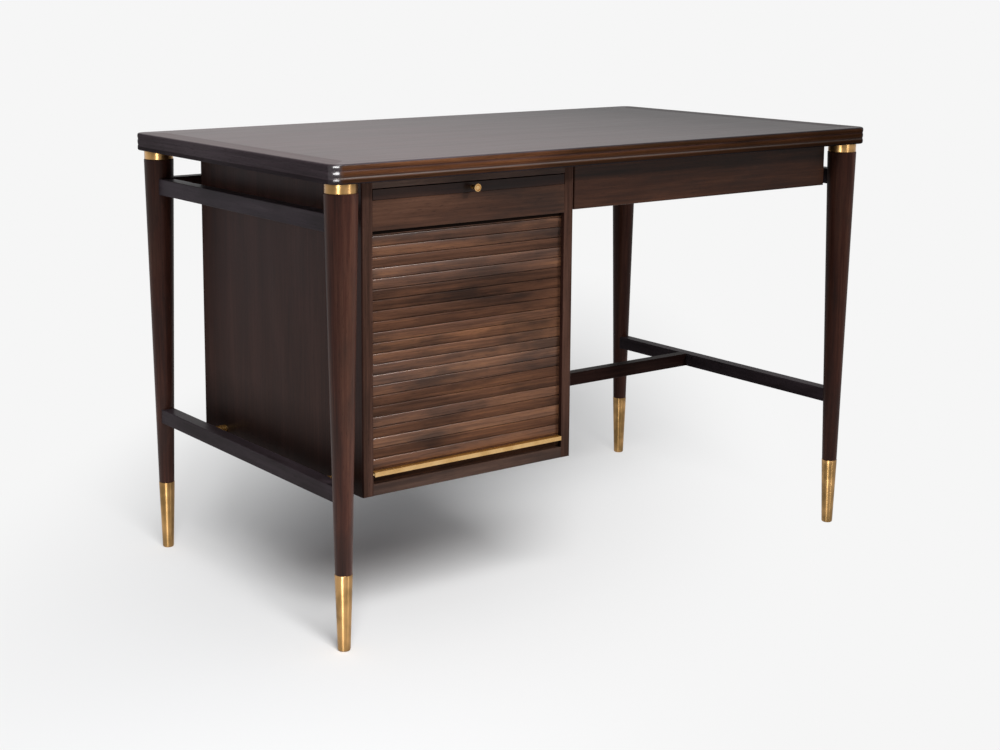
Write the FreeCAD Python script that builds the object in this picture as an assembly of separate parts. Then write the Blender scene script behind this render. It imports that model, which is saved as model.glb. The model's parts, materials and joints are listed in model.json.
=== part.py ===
import FreeCAD, Part
import math
import os

V = FreeCAD.Vector

# Tambour desk, in millimetres. Origin on the floor under the middle of the top.
# +X runs along the front to the drawer end, +Y to the back, +Z up. The front faces -Y.

# ---- driving sizes ---------------------------------------------------------------------------

# whole desk
TOP_WIDTH = 1150.0
TOP_DEPTH = 654.0
DESK_HEIGHT = 750.0
TOP_THICKNESS = 30.0

# reeded edge of the top
EDGE_WIDTH = 43.0
CORNER_RADIUS = 19.0
REED_COUNT = 3
REED_DEPTH = 1.0
ARRIS_ROUNDING = 3.0
TONGUE_DEPTH = 8.0
TONGUE_THICKNESS = 6.0

# legs
LEG_INSET_X = 32.0
LEG_INSET_Y = 31.0
LEG_TOP_DIAMETER = 51.5
LEG_FERRULE_DIAMETER = 27.0
COLLAR_DIAMETER = 50.0
COLLAR_HEIGHT = 15.0
SPIGOT_DIAMETER = 30.0
SPIGOT_DEPTH = 18.0
FERRULE_HEIGHT = 122.0
FERRULE_TOP_DIAMETER = 28.0
FERRULE_FOOT_DIAMETER = 20.0
FERRULE_WALL = 1.6
FERRULE_FLOOR = 6.0
FOOT_ROUNDING = 3.0

# rails between the legs
RAIL_WIDTH = 24.0
UPPER_RAIL_DROP = 48.0
UPPER_RAIL_HEIGHT = 28.0
BACK_RAIL_HEIGHT = 34.0
LOWER_RAIL_HEIGHT = 25.0
LOWER_RAIL_FLOOR = 233.5
STRETCHER_WIDTH = 22.0
STRETCHER_SETBACK = 378.0
TENON_THICKNESS = 9.0
TENON_SHOULDER = 5.0
TENON_LENGTH = 9.0
RAIL_ROUNDING = 1.5

# pedestal
PEDESTAL_GAP = 28.0
PEDESTAL_WIDTH = 410.0
PEDESTAL_DEPTH = 506.0
PEDESTAL_SETBACK = 37.0
PEDESTAL_FLOOR = 232.0
SIDE_THICKNESS = 19.0
SIDE_ROUNDING = 2.5
BOTTOM_THICKNESS = 18.0
FRONT_RAIL_DEPTH = 24.0
PANEL_THICKNESS = 12.0
TOP_RAIL_HEIGHT = 14.0
FASCIA_HEIGHT = 46.5
FASCIA_THICKNESS = 7.0
BACK_THICKNESS = 9.0
DUST_PANEL_THICKNESS = 6.0
SHELF_THICKNESS = 16.0
SHELF_HEIGHT = 205.0
SHELF_FRONT_SETBACK = 34.0
PIN_DIAMETER = 6.0
PIN_DEPTH = 9.0
PIN_REACH = 12.0
PIN_INSET = 60.0

# brass spacers and studs that join the pedestal to the lower left rail
SPACER_DIAMETER = 14.0
SPACER_INSET = 71.0
STUD_DIAMETER = 5.0
STUD_GRIP = 13.0

# pull-out writing slide
SLIDE_THICKNESS = 16.0
SLIDE_GAP = 1.5
SLIDE_DEPTH = 470.0
SLIDE_LIPPING = 22.0
RUNNER_WIDTH = 14.0
RUNNER_HEIGHT = 8.0
KNOB_DIAMETER = 13.0
KNOB_LENGTH = 15.0
KNOB_NECK_DIAMETER = 6.5
KNOB_HEAD_LENGTH = 9.0
KNOB_RIM = 0.8
KNOB_DISH = 1.6
KNOB_SCREW_DIAMETER = 3.0
KNOB_SCREW_HEAD = 6.0
KNOB_SCREW_GRIP = 8.0

# tambour
SLAT_PITCH_WANTED = 16.4
SLAT_THICKNESS = 7.0
SLAT_GAP = 0.8
SLAT_CHAMFER = 1.2
CANVAS_THICKNESS = 1.0
CANVAS_INSET = 14.0
GROOVE_DEPTH = 6.0
GROOVE_RADIUS = 26.0
GROOVE_RUN = 400.0
LIFT_RAIL_HEIGHT = 21.0
LIFT_RAIL_THICKNESS = 11.0
HANDLE_REACH = 10.0
HANDLE_HEIGHT = 7.0
HANDLE_THICKNESS = 1.8
HANDLE_DROP = 2.0
HANDLE_END_GAP = 1.5
HANDLE_SCREW_DIAMETER = 3.0
HANDLE_SCREW_HEAD = 6.0
HANDLE_SCREW_COUNT = 4
HANDLE_SCREW_INSET = 30.0

# drawer and its housing
DRAWER_FRONT_HEIGHT = 73.5
DRAWER_FRONT_THICKNESS = 18.0
DRAWER_SEAM = 2.0
DRAWER_SIDE_THICKNESS = 12.0
DRAWER_SIDE_HEIGHT = 56.0
DRAWER_SIDE_LIFT = 10.0
DRAWER_DEPTH = 440.0
DRAWER_BOTTOM_THICKNESS = 5.0
DRAWER_BOTTOM_RISE = 6.0
DRAWER_GROOVE_DEPTH = 5.0
DRAWER_RUNNER_HEIGHT = 12.0
HOUSING_HEIGHT = 65.0
HOUSING_THICKNESS = 18.0
HOUSING_REVEAL = 2.0
DOWEL_DIAMETER = 8.0
DOWEL_LENGTH = 34.0
DOWEL_IN_TOP = 15.0
DOWEL_INSET = 60.0
DOWEL_COUNT = 3

# screws up through the pedestal top into the slab
TOP_SCREW_DIAMETER = 4.5
TOP_SCREW_HEAD = 8.5
TOP_SCREW_LENGTH = 28.0
TOP_SCREW_INSET = 45.0
TOP_SCREW_ROWS = 3

# clearances
FIT = 0.1
RUN = 0.4
SEAT = 0.3
SIDE_PLAY = 1.0

# ---- places worked out from the sizes --------------------------------------------------------

SLAB_Z = DESK_HEIGHT - TOP_THICKNESS
LEG_X = TOP_WIDTH / 2 - LEG_INSET_X
LEG_Y = TOP_DEPTH / 2 - LEG_INSET_Y
LEG_TOP_Z = SLAB_Z - COLLAR_HEIGHT
RAIL_HALF = RAIL_WIDTH / 2

UPPER_RAIL_TOP = SLAB_Z - UPPER_RAIL_DROP
LOWER_RAIL_TOP = LOWER_RAIL_FLOOR + LOWER_RAIL_HEIGHT

FRONT_Y = -TOP_DEPTH / 2 + PEDESTAL_SETBACK
PED_X0 = -LEG_X + RAIL_HALF + PEDESTAL_GAP
PED_X1 = PED_X0 + PEDESTAL_WIDTH
PED_Y1 = FRONT_Y + PEDESTAL_DEPTH
INNER_X0 = PED_X0 + SIDE_THICKNESS
INNER_X1 = PED_X1 - SIDE_THICKNESS
INNER_Y1 = PED_Y1 - BACK_THICKNESS
MIDDLE_X = (PED_X0 + PED_X1) / 2
CABINET_Z = PEDESTAL_FLOOR + BOTTOM_THICKNESS

SLIDE_TOP = SLAB_Z - TOP_RAIL_HEIGHT - SLIDE_GAP
SLIDE_Z = SLIDE_TOP - SLIDE_THICKNESS
FASCIA_TOP = SLIDE_Z - RUN
FASCIA_Z = FASCIA_TOP - FASCIA_HEIGHT

SLAT_Y0 = FRONT_Y + FASCIA_THICKNESS + SEAT
SLAT_Y1 = SLAT_Y0 + SLAT_THICKNESS
LIFT_Z0 = CABINET_Z + SEAT
LIFT_Z1 = LIFT_Z0 + LIFT_RAIL_HEIGHT
HANDLE_Z1 = LIFT_Z1 - HANDLE_DROP
HANDLE_Z0 = HANDLE_Z1 - HANDLE_HEIGHT
SLAT_Z0 = LIFT_Z1 + SEAT
GROOVE_Y = (SLAT_Y0 + SLAT_Y1) / 2
GROOVE_WIDTH = SLAT_THICKNESS + 2 * SEAT
RUNNER_Z1 = SLIDE_Z - RUN
RUNNER_Z0 = RUNNER_Z1 - RUNNER_HEIGHT
PARK_Z = RUNNER_Z0 - SEAT - GROOVE_WIDTH / 2
BEND_Z = PARK_Z - GROOVE_RADIUS
DUST_Z1 = PARK_Z - GROOVE_WIDTH / 2 - SEAT
SLAT_ROOM = BEND_Z - SEAT + SLAT_GAP - SLAT_Z0
SLAT_COUNT = round(SLAT_ROOM / SLAT_PITCH_WANTED)
SLAT_PITCH = SLAT_ROOM / SLAT_COUNT

HOUSING_X1 = LEG_X - RAIL_HALF - PEDESTAL_GAP
HOUSING_X0 = HOUSING_X1 - HOUSING_REVEAL - HOUSING_THICKNESS
DRAWER_FRONT_Y1 = FRONT_Y + DRAWER_FRONT_THICKNESS
DRAWER_Z1 = SLAB_Z - SLIDE_GAP
DRAWER_Z0 = DRAWER_Z1 - DRAWER_FRONT_HEIGHT
DRAWER_BOX_Z0 = DRAWER_Z0 + DRAWER_SIDE_LIFT
DRAWER_BOX_Z1 = DRAWER_BOX_Z0 + DRAWER_SIDE_HEIGHT
DRAWER_X0 = PED_X1 + SIDE_PLAY
DRAWER_X1 = HOUSING_X0 - SIDE_PLAY
DRAWER_Y1 = DRAWER_FRONT_Y1 + DRAWER_DEPTH

parts = {}


# ---- helpers ---------------------------------------------------------------------------------

def box(x0, x1, y0, y1, z0, z1):
    return Part.makeBox(x1 - x0, y1 - y0, z1 - z0, V(x0, y0, z0))


def rod(radius, start, direction, length):
    return Part.makeCylinder(radius, length, V(*start), V(*direction))


def outline(points):
    """A closed wire from a list of points, with an arc wherever an item is a (middle, end) pair."""
    edges = []
    last = V(*points[0])
    for item in points[1:]:
        if isinstance(item[0], tuple):
            middle, end = V(*item[0]), V(*item[1])
            edges.append(Part.Arc(last, middle, end).toShape())
        else:
            end = V(*item)
            edges.append(Part.makeLine(last, end))
        last = end
    return Part.Wire(edges)


def turned(profile, x=0.0, y=0.0):
    """A solid turned about the vertical through (x, y) from a profile of (radius, height) points."""
    face = Part.Face(outline(profile))
    solid = face.revolve(V(0, 0, 0), V(0, 0, 1), 360)
    solid.translate(V(x, y, 0))
    return solid


def eased(solid, radius, wanted):
    """The solid with the straight edges that the test `wanted` picks rounded over."""
    edges = [e for e in solid.Edges if wanted(e.BoundBox)]
    return solid.makeFillet(radius, edges) if edges else solid


def countersunk(start, direction, shank, head, length):
    """A wood screw: a flat cone head at its start, then the shank."""
    way = V(*direction)
    cone_height = (head - shank) / 2
    cone = Part.makeCone(head / 2, shank / 2, cone_height, V(*start), way)
    return cone.fuse(Part.makeCylinder(shank / 2, length, V(*start), way)).removeSplitter()


def keep(name, shape):
    parts[name] = shape


def leg_places():
    return {"fl": (-LEG_X, -LEG_Y), "fr": (LEG_X, -LEG_Y), "bl": (-LEG_X, LEG_Y), "br": (LEG_X, LEG_Y)}


def spread(first, last, count):
    return [first + (last - first) * n / (count - 1) for n in range(count)]


# ---- the top ---------------------------------------------------------------------------------

def reed_outline(bottom, top):
    """Points (depth, height) of the stacked convex reeds, from the bottom up. Depth 0 is the crest."""
    pitch = (top - bottom) / REED_COUNT
    points = [(REED_DEPTH, bottom)]
    for n in range(REED_COUNT):
        foot = bottom + n * pitch
        points.append(((0.0, foot + pitch / 2), (REED_DEPTH, foot + pitch)))
    return points


def rounded_rectangle(half_x, half_y, radius, z):
    s = radius * (1 - math.sqrt(0.5))
    corners = [(-1, -1), (1, -1), (1, 1), (-1, 1)]
    points = []
    for n, (sx, sy) in enumerate(corners):
        along_x = (sx * (half_x - radius), sy * half_y, z)
        along_y = (sx * half_x, sy * (half_y - radius), z)
        middle = (sx * (half_x - s), sy * (half_y - s), z)
        first, last = (along_y, along_x) if n % 2 == 0 else (along_x, along_y)
        points.append(first)
        points.append((middle, last))
    points.append(points[0])
    return outline(points)


def on_slab_face(bb):
    """True for an edge that lies in the slab's top face or in its underside."""
    middle = (SLAB_Z + DESK_HEIGHT) / 2
    return min(abs(bb.ZMin - middle), abs(bb.ZMax - middle)) > (TOP_THICKNESS - FIT) / 2


def reeded_ring():
    """The whole reeded border, before it is mitred into four mouldings."""
    half_x, half_y = TOP_WIDTH / 2, TOP_DEPTH / 2
    slab = Part.Face(rounded_rectangle(half_x, half_y, CORNER_RADIUS, SLAB_Z)).extrude(V(0, 0, TOP_THICKNESS))
    reeds = reed_outline(SLAB_Z, DESK_HEIGHT)
    out = REED_DEPTH + 1.0
    straight_x = half_x - CORNER_RADIUS
    straight_y = half_y - CORNER_RADIUS
    waste = []
    for n, (distance, length) in enumerate([(half_y, straight_x), (half_x, straight_y)] * 2):
        section = []
        for point in reeds:
            if isinstance(point[0], tuple):
                section.append(tuple((-length, d - distance, z) for d, z in point))
            else:
                section.append((-length, point[0] - distance, point[1]))
        section.append((-length, -distance - out, DESK_HEIGHT))
        section.append((-length, -distance - out, SLAB_Z))
        section.append(section[0])
        strip = Part.Face(outline(section)).extrude(V(2 * length, 0, 0))
        strip.rotate(V(0, 0, 0), V(0, 0, 1), 90 * n)
        waste.append(strip)
    for sx in (-1, 1):
        for sy in (-1, 1):
            profile = []
            for point in reeds:
                if isinstance(point[0], tuple):
                    profile.append(tuple((CORNER_RADIUS - d, 0, z) for d, z in point))
                else:
                    profile.append((CORNER_RADIUS - point[0], 0, point[1]))
            profile.append((CORNER_RADIUS + out, 0, DESK_HEIGHT))
            profile.append((CORNER_RADIUS + out, 0, SLAB_Z))
            profile.append(profile[0])
            start = {(1, 1): 0, (-1, 1): 90, (-1, -1): 180, (1, -1): 270}[(sx, sy)]
            face = Part.Face(outline(profile))
            face.rotate(V(0, 0, 0), V(0, 0, 1), start)
            quarter = face.revolve(V(0, 0, 0), V(0, 0, 1), 90)
            quarter.translate(V(sx * straight_x, sy * straight_y, 0))
            waste.append(quarter)
    ring = eased(slab.cut(waste), ARRIS_ROUNDING, on_slab_face)
    inner_x, inner_y = half_x - EDGE_WIDTH, half_y - EDGE_WIDTH
    return ring.cut(box(-inner_x, inner_x, -inner_y, inner_y, SLAB_Z - 1, DESK_HEIGHT + 1))


def fixing_holes():
    """Holes in the slab for the housing dowels and the pedestal screws."""
    holes = [rod(DOWEL_DIAMETER / 2 + FIT, (x, y, SLAB_Z), (0, 0, 1), DOWEL_IN_TOP + FIT)
             for x, y in dowel_places()]
    holes += [rod(TOP_SCREW_DIAMETER / 2, (x, y, SLAB_Z), (0, 0, 1), TOP_SCREW_LENGTH - PANEL_THICKNESS)
              for x, y in top_screw_places()]
    return holes


def make_top():
    half_x, half_y = TOP_WIDTH / 2, TOP_DEPTH / 2
    inner_x, inner_y = half_x - EDGE_WIDTH, half_y - EDGE_WIDTH
    middle = (SLAB_Z + DESK_HEIGHT) / 2
    tongue_z = (middle - TONGUE_THICKNESS / 2, middle + TONGUE_THICKNESS / 2)
    core = box(-inner_x, inner_x, -inner_y, inner_y, SLAB_Z, DESK_HEIGHT)
    tongue = box(-inner_x - TONGUE_DEPTH, inner_x + TONGUE_DEPTH,
                 -inner_y - TONGUE_DEPTH, inner_y + TONGUE_DEPTH, *tongue_z)
    core = core.fuse(tongue).removeSplitter()
    ring = reeded_ring().cut(tongue)
    out, inside = EDGE_WIDTH, EDGE_WIDTH + 1.0
    corners = [(-1, -1), (1, -1), (1, 1), (-1, 1)]
    mouldings = ["edge_front", "edge_right", "edge_back", "edge_left"]
    sockets = [rod(SPIGOT_DIAMETER / 2 + FIT, (x, y, SLAB_Z), (0, 0, 1), SPIGOT_DEPTH + FIT)
               for x, y in leg_places().values()]
    for n, name in enumerate(mouldings):
        # the mitre planes run inward at 45 degrees from each outer corner
        ends = [corners[n], corners[(n + 1) % 4]]
        points = [(sx * (half_x + out), sy * (half_y + out), SLAB_Z - 1) for sx, sy in ends]
        points += [(sx * (half_x - inside), sy * (half_y - inside), SLAB_Z - 1) for sx, sy in reversed(ends)]
        prism = Part.Face(outline(points + points[:1])).extrude(V(0, 0, TOP_THICKNESS + 2))
        keep(name, ring.common(prism).cut(sockets))
    keep("top_panel", core.cut(sockets).cut(fixing_holes()))


# ---- legs ------------------------------------------------------------------------------------

def leg_radius(z):
    share = (z - FERRULE_HEIGHT) / (LEG_TOP_Z - FERRULE_HEIGHT)
    return (LEG_FERRULE_DIAMETER + share * (LEG_TOP_DIAMETER - LEG_FERRULE_DIAMETER)) / 2


def ferrule_radius(z):
    share = z / FERRULE_HEIGHT
    return (FERRULE_FOOT_DIAMETER + share * (FERRULE_TOP_DIAMETER - FERRULE_FOOT_DIAMETER)) / 2


def make_leg(x, y):
    tip_top = ferrule_radius(FERRULE_HEIGHT) - FERRULE_WALL - FIT
    tip_end = ferrule_radius(FERRULE_FLOOR) - FERRULE_WALL - FIT
    spigot = SPIGOT_DIAMETER / 2
    return turned([
        (0, 0, FERRULE_FLOOR + FIT), (tip_end, 0, FERRULE_FLOOR + FIT), (tip_top, 0, FERRULE_HEIGHT),
        (leg_radius(FERRULE_HEIGHT), 0, FERRULE_HEIGHT), (LEG_TOP_DIAMETER / 2, 0, LEG_TOP_Z),
        (spigot, 0, LEG_TOP_Z), (spigot, 0, SLAB_Z + SPIGOT_DEPTH), (0, 0, SLAB_Z + SPIGOT_DEPTH),
        (0, 0, FERRULE_FLOOR + FIT)], x, y)


def make_collar(x, y):
    ring = rod(COLLAR_DIAMETER / 2, (x, y, LEG_TOP_Z), (0, 0, 1), COLLAR_HEIGHT)
    return ring.cut(rod(SPIGOT_DIAMETER / 2 + FIT, (x, y, LEG_TOP_Z), (0, 0, 1), COLLAR_HEIGHT))


def make_ferrule(x, y):
    foot = ferrule_radius(FOOT_ROUNDING)
    bend = FOOT_ROUNDING * (1 - math.sqrt(0.5))
    inner_top = ferrule_radius(FERRULE_HEIGHT) - FERRULE_WALL
    inner_end = ferrule_radius(FERRULE_FLOOR) - FERRULE_WALL
    return turned([
        (0, 0, 0), (foot - FOOT_ROUNDING, 0, 0),
        ((foot - bend, 0, bend), (foot, 0, FOOT_ROUNDING)),
        (FERRULE_TOP_DIAMETER / 2, 0, FERRULE_HEIGHT), (inner_top, 0, FERRULE_HEIGHT),
        (inner_end, 0, FERRULE_FLOOR), (0, 0, FERRULE_FLOOR), (0, 0, 0)], x, y)


# ---- rails between the legs ------------------------------------------------------------------

def rail_between(a, b, z0, height):
    """A rail between two legs, coped to them and tenoned into them, and its two tenon blocks."""
    along_y = a[0] == b[0]
    if along_y:
        bar = box(a[0] - RAIL_HALF, a[0] + RAIL_HALF, a[1], b[1], z0, z0 + height)
        bar = eased(bar, RAIL_ROUNDING, lambda bb: bb.YLength > bb.XLength + bb.ZLength)
    else:
        bar = box(a[0], b[0], a[1] - RAIL_HALF, a[1] + RAIL_HALF, z0, z0 + height)
        bar = eased(bar, RAIL_ROUNDING, lambda bb: bb.XLength > bb.YLength + bb.ZLength)
    plain = [make_leg(*a), make_leg(*b)]
    bar = bar.cut(plain)
    radius = leg_radius(z0 + height / 2)
    reach = radius - TENON_LENGTH
    half = TENON_THICKNESS / 2
    z = (z0 + TENON_SHOULDER, z0 + height - TENON_SHOULDER)
    tenons, mortises = [], []
    for grow, blocks in ((0.0, tenons), (FIT, mortises)):
        near, far, side = reach - grow, radius + RAIL_HALF, half + grow
        tall = (z[0] - grow, z[1] + grow)
        if along_y:
            blocks.append(box(a[0] - side, a[0] + side, a[1] + near, a[1] + far, *tall))
            blocks.append(box(a[0] - side, a[0] + side, b[1] - far, b[1] - near, *tall))
        else:
            blocks.append(box(a[0] + near, a[0] + far, a[1] - side, a[1] + side, *tall))
            blocks.append(box(b[0] - far, b[0] - near, a[1] - side, a[1] + side, *tall))
    return bar.fuse(tenons).removeSplitter(), mortises


def make_frame():
    places = leg_places()
    fl, fr, bl, br = (places[k] for k in ("fl", "fr", "bl", "br"))
    upper = UPPER_RAIL_TOP - UPPER_RAIL_HEIGHT
    rails = {
        "rail_upper_left": (fl, bl, upper, UPPER_RAIL_HEIGHT),
        "rail_upper_right": (fr, br, upper, UPPER_RAIL_HEIGHT),
        "rail_upper_back": (bl, br, UPPER_RAIL_TOP - BACK_RAIL_HEIGHT, BACK_RAIL_HEIGHT),
        "rail_lower_left": (fl, bl, LOWER_RAIL_FLOOR, LOWER_RAIL_HEIGHT),
        "rail_lower_right": (fr, br, LOWER_RAIL_FLOOR, LOWER_RAIL_HEIGHT),
    }
    mortises = []
    for name, (a, b, z0, height) in rails.items():
        rail, blocks = rail_between(a, b, z0, height)
        keep(name, rail)
        mortises += blocks
    for name, (x, y) in places.items():
        keep("leg_" + name, make_leg(x, y).cut(mortises))
        keep("collar_" + name, make_collar(x, y))
        keep("ferrule_" + name, make_ferrule(x, y))


def stretcher_tenons(grow):
    y0 = -LEG_Y + STRETCHER_SETBACK
    middle = y0 + STRETCHER_WIDTH / 2
    half = TENON_THICKNESS / 2 + grow
    z0 = LOWER_RAIL_FLOOR + TENON_SHOULDER - grow
    z1 = LOWER_RAIL_TOP - TENON_SHOULDER + grow
    x1 = LEG_X - RAIL_HALF
    deep = TENON_LENGTH + grow
    return [box(PED_X1 - deep, PED_X1 + TENON_LENGTH, middle - half, middle + half, z0, z1),
            box(x1 - TENON_LENGTH, x1 + deep, middle - half, middle + half, z0, z1)]


def make_stretcher():
    y0 = -LEG_Y + STRETCHER_SETBACK
    bar = box(PED_X1, LEG_X - RAIL_HALF, y0, y0 + STRETCHER_WIDTH, LOWER_RAIL_FLOOR, LOWER_RAIL_TOP)
    bar = eased(bar, RAIL_ROUNDING, lambda bb: bb.XLength > bb.YLength + bb.ZLength)
    keep("stretcher", bar.fuse(stretcher_tenons(0.0)).removeSplitter())
    parts["rail_lower_right"] = parts["rail_lower_right"].cut(stretcher_tenons(FIT))


# ---- spacers between the pedestal and the lower left rail ------------------------------------

def spacer_line(y, radius, overrun):
    x0 = -LEG_X + RAIL_HALF - overrun
    z = LOWER_RAIL_FLOOR + LOWER_RAIL_HEIGHT / 2
    return rod(radius, (x0, y, z), (1, 0, 0), PEDESTAL_GAP + 2 * overrun)


def spacer_places():
    return [FRONT_Y + SPACER_INSET, PED_Y1 - SPACER_INSET]


def make_spacers():
    stud = STUD_DIAMETER / 2
    places = spacer_places()
    keep("spacers", Part.makeCompound(
        [spacer_line(y, SPACER_DIAMETER / 2, 0).cut(spacer_line(y, stud + FIT, 1)) for y in places]))
    keep("spacer_studs", Part.makeCompound([spacer_line(y, stud, STUD_GRIP) for y in places]))
    holes = [spacer_line(y, stud + FIT, STUD_GRIP + FIT) for y in places]
    parts["rail_lower_left"] = parts["rail_lower_left"].cut(holes)


# ---- pedestal --------------------------------------------------------------------------------

def groove_track(x0, x1):
    """The path of the shutter: up behind the front, round a quarter bend, then back to the rear."""
    half = GROOVE_WIDTH / 2
    bend_y = GROOVE_Y + GROOVE_RADIUS
    outer, inner = GROOVE_RADIUS + half, GROOVE_RADIUS - half
    s = math.sqrt(0.5)
    end_y = bend_y + GROOVE_RUN
    points = [
        (x0, GROOVE_Y - half, CABINET_Z), (x0, GROOVE_Y - half, BEND_Z),
        ((x0, bend_y - outer * s, BEND_Z + outer * s), (x0, bend_y, BEND_Z + outer)),
        (x0, end_y, PARK_Z + half), (x0, end_y, PARK_Z - half), (x0, bend_y, PARK_Z - half),
        ((x0, bend_y - inner * s, BEND_Z + inner * s), (x0, GROOVE_Y + half, BEND_Z)),
        (x0, GROOVE_Y + half, CABINET_Z), (x0, GROOVE_Y - half, CABINET_Z)]
    return Part.Face(outline(points)).extrude(V(x1 - x0, 0, 0))


def pin_places():
    return [FRONT_Y + PIN_INSET, INNER_Y1 - PIN_INSET]


def pin_height():
    return CABINET_Z + SHELF_HEIGHT - PIN_DIAMETER / 2


def shelf_pin(x, y, grow, outward):
    """One shelf pin, or with `grow` its hole, at a side panel's inner face."""
    start = x + outward * (PIN_DEPTH + grow)
    reach = PIN_DEPTH + grow + (0 if grow else PIN_REACH)
    return rod(PIN_DIAMETER / 2 + grow, (start, y, pin_height()), (-outward, 0, 0), reach)


def make_pedestal_sides():
    def front_corners(bb):
        return bb.ZLength > SIDE_THICKNESS and bb.YMax < FRONT_Y + 1

    def tall_box(x0, x1):
        side = box(x0, x1, FRONT_Y, PED_Y1, PEDESTAL_FLOOR, SLAB_Z)
        outer = x0 if x0 == PED_X0 else x1
        return eased(side, SIDE_ROUNDING, lambda bb: front_corners(bb) and abs(bb.XMin - outer) < 1)

    left = tall_box(PED_X0, INNER_X0).cut(groove_track(INNER_X0 - GROOVE_DEPTH, INNER_X0))
    right = tall_box(INNER_X1, PED_X1).cut(groove_track(INNER_X1, INNER_X1 + GROOVE_DEPTH))
    left = left.cut([shelf_pin(INNER_X0, y, FIT, -1) for y in pin_places()])
    right = right.cut([shelf_pin(INNER_X1, y, FIT, 1) for y in pin_places()])
    studs = [spacer_line(y, STUD_DIAMETER / 2 + FIT, STUD_GRIP + FIT) for y in spacer_places()]
    keep("pedestal_side_left", left.cut(studs))
    keep("pedestal_side_right", right.cut(stretcher_tenons(FIT)))


def top_screw_places():
    rows = spread(FRONT_Y + FRONT_RAIL_DEPTH + TOP_SCREW_INSET, INNER_Y1 - TOP_SCREW_INSET, TOP_SCREW_ROWS)
    return [(x, y) for x in (INNER_X0 + TOP_SCREW_INSET, INNER_X1 - TOP_SCREW_INSET) for y in rows]


def top_screws():
    z = SLAB_Z - PANEL_THICKNESS
    return [countersunk((x, y, z), (0, 0, 1), TOP_SCREW_DIAMETER, TOP_SCREW_HEAD, TOP_SCREW_LENGTH)
            for x, y in top_screw_places()]


def make_pedestal():
    make_pedestal_sides()
    front_back = FRONT_Y + FRONT_RAIL_DEPTH
    keep("pedestal_bottom_rail", box(INNER_X0, INNER_X1, FRONT_Y, front_back, PEDESTAL_FLOOR, CABINET_Z))
    keep("pedestal_bottom", box(INNER_X0, INNER_X1, front_back, INNER_Y1, PEDESTAL_FLOOR, CABINET_Z))
    keep("pedestal_top_rail",
         box(INNER_X0, INNER_X1, FRONT_Y, front_back, SLAB_Z - TOP_RAIL_HEIGHT, SLAB_Z))
    panel = box(INNER_X0, INNER_X1, front_back, INNER_Y1, SLAB_Z - PANEL_THICKNESS, SLAB_Z)
    screws = top_screws()
    keep("pedestal_top", panel.cut(screws))
    keep("top_screws", Part.makeCompound(screws))
    keep("pedestal_back", box(INNER_X0, INNER_X1, INNER_Y1, PED_Y1, PEDESTAL_FLOOR, SLAB_Z))
    keep("fascia", box(INNER_X0, INNER_X1, FRONT_Y, FRONT_Y + FASCIA_THICKNESS, FASCIA_Z, FASCIA_TOP))
    keep("dust_panel", box(INNER_X0, INNER_X1, GROOVE_Y + GROOVE_RADIUS, INNER_Y1,
                           DUST_Z1 - DUST_PANEL_THICKNESS, DUST_Z1))
    shelf_z = CABINET_Z + SHELF_HEIGHT
    keep("shelf", box(INNER_X0 + SIDE_PLAY, INNER_X1 - SIDE_PLAY, FRONT_Y + SHELF_FRONT_SETBACK,
                      INNER_Y1 - SIDE_PLAY, shelf_z, shelf_z + SHELF_THICKNESS))
    pins = [shelf_pin(x, y, 0.0, way) for x, way in ((INNER_X0, -1), (INNER_X1, 1)) for y in pin_places()]
    keep("shelf_pins", Part.makeCompound(pins))


# ---- writing slide ---------------------------------------------------------------------------

def knob_profile():
    """Neck, flared head and dished face, as (radius, 0, distance from the lipping)."""
    neck, head = KNOB_NECK_DIAMETER / 2, KNOB_DIAMETER / 2
    rim = head - KNOB_RIM
    sphere = (rim ** 2 + KNOB_DISH ** 2) / (2 * KNOB_DISH)
    turn = math.asin(rim / sphere) / 2
    bottom = KNOB_LENGTH - KNOB_DISH
    return [
        (0, 0, 0), (neck, 0, 0), (neck, 0, KNOB_LENGTH - KNOB_HEAD_LENGTH), (head, 0, KNOB_LENGTH - KNOB_RIM),
        (rim, 0, KNOB_LENGTH),
        ((sphere * math.sin(turn), 0, bottom + sphere * (1 - math.cos(turn))), (0, 0, bottom)), (0, 0, 0)]


def make_slide():
    x0, x1 = INNER_X0 + SIDE_PLAY, INNER_X1 - SIDE_PLAY
    lipping_y1 = FRONT_Y + SLIDE_LIPPING
    knob_z = (SLIDE_Z + SLIDE_TOP) / 2
    screw = countersunk((MIDDLE_X, lipping_y1, knob_z), (0, -1, 0), KNOB_SCREW_DIAMETER, KNOB_SCREW_HEAD,
                        SLIDE_LIPPING + KNOB_SCREW_GRIP)
    keep("slide_lipping", box(x0, x1, FRONT_Y, lipping_y1, SLIDE_Z, SLIDE_TOP).cut(screw))
    keep("slide_board", box(x0, x1, lipping_y1, FRONT_Y + SLIDE_DEPTH, SLIDE_Z, SLIDE_TOP))
    keep("knob_screw", screw)
    knob = turned(knob_profile())
    knob.rotate(V(0, 0, 0), V(1, 0, 0), 90)
    knob.translate(V(MIDDLE_X, FRONT_Y, knob_z))
    keep("knob", knob.cut(screw))
    runner_y = (FRONT_Y + FASCIA_THICKNESS, INNER_Y1)
    keep("slide_runner_left", box(INNER_X0, INNER_X0 + RUNNER_WIDTH, *runner_y, RUNNER_Z0, RUNNER_Z1))
    keep("slide_runner_right", box(INNER_X1 - RUNNER_WIDTH, INNER_X1, *runner_y, RUNNER_Z0, RUNNER_Z1))


# ---- tambour ---------------------------------------------------------------------------------

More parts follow.
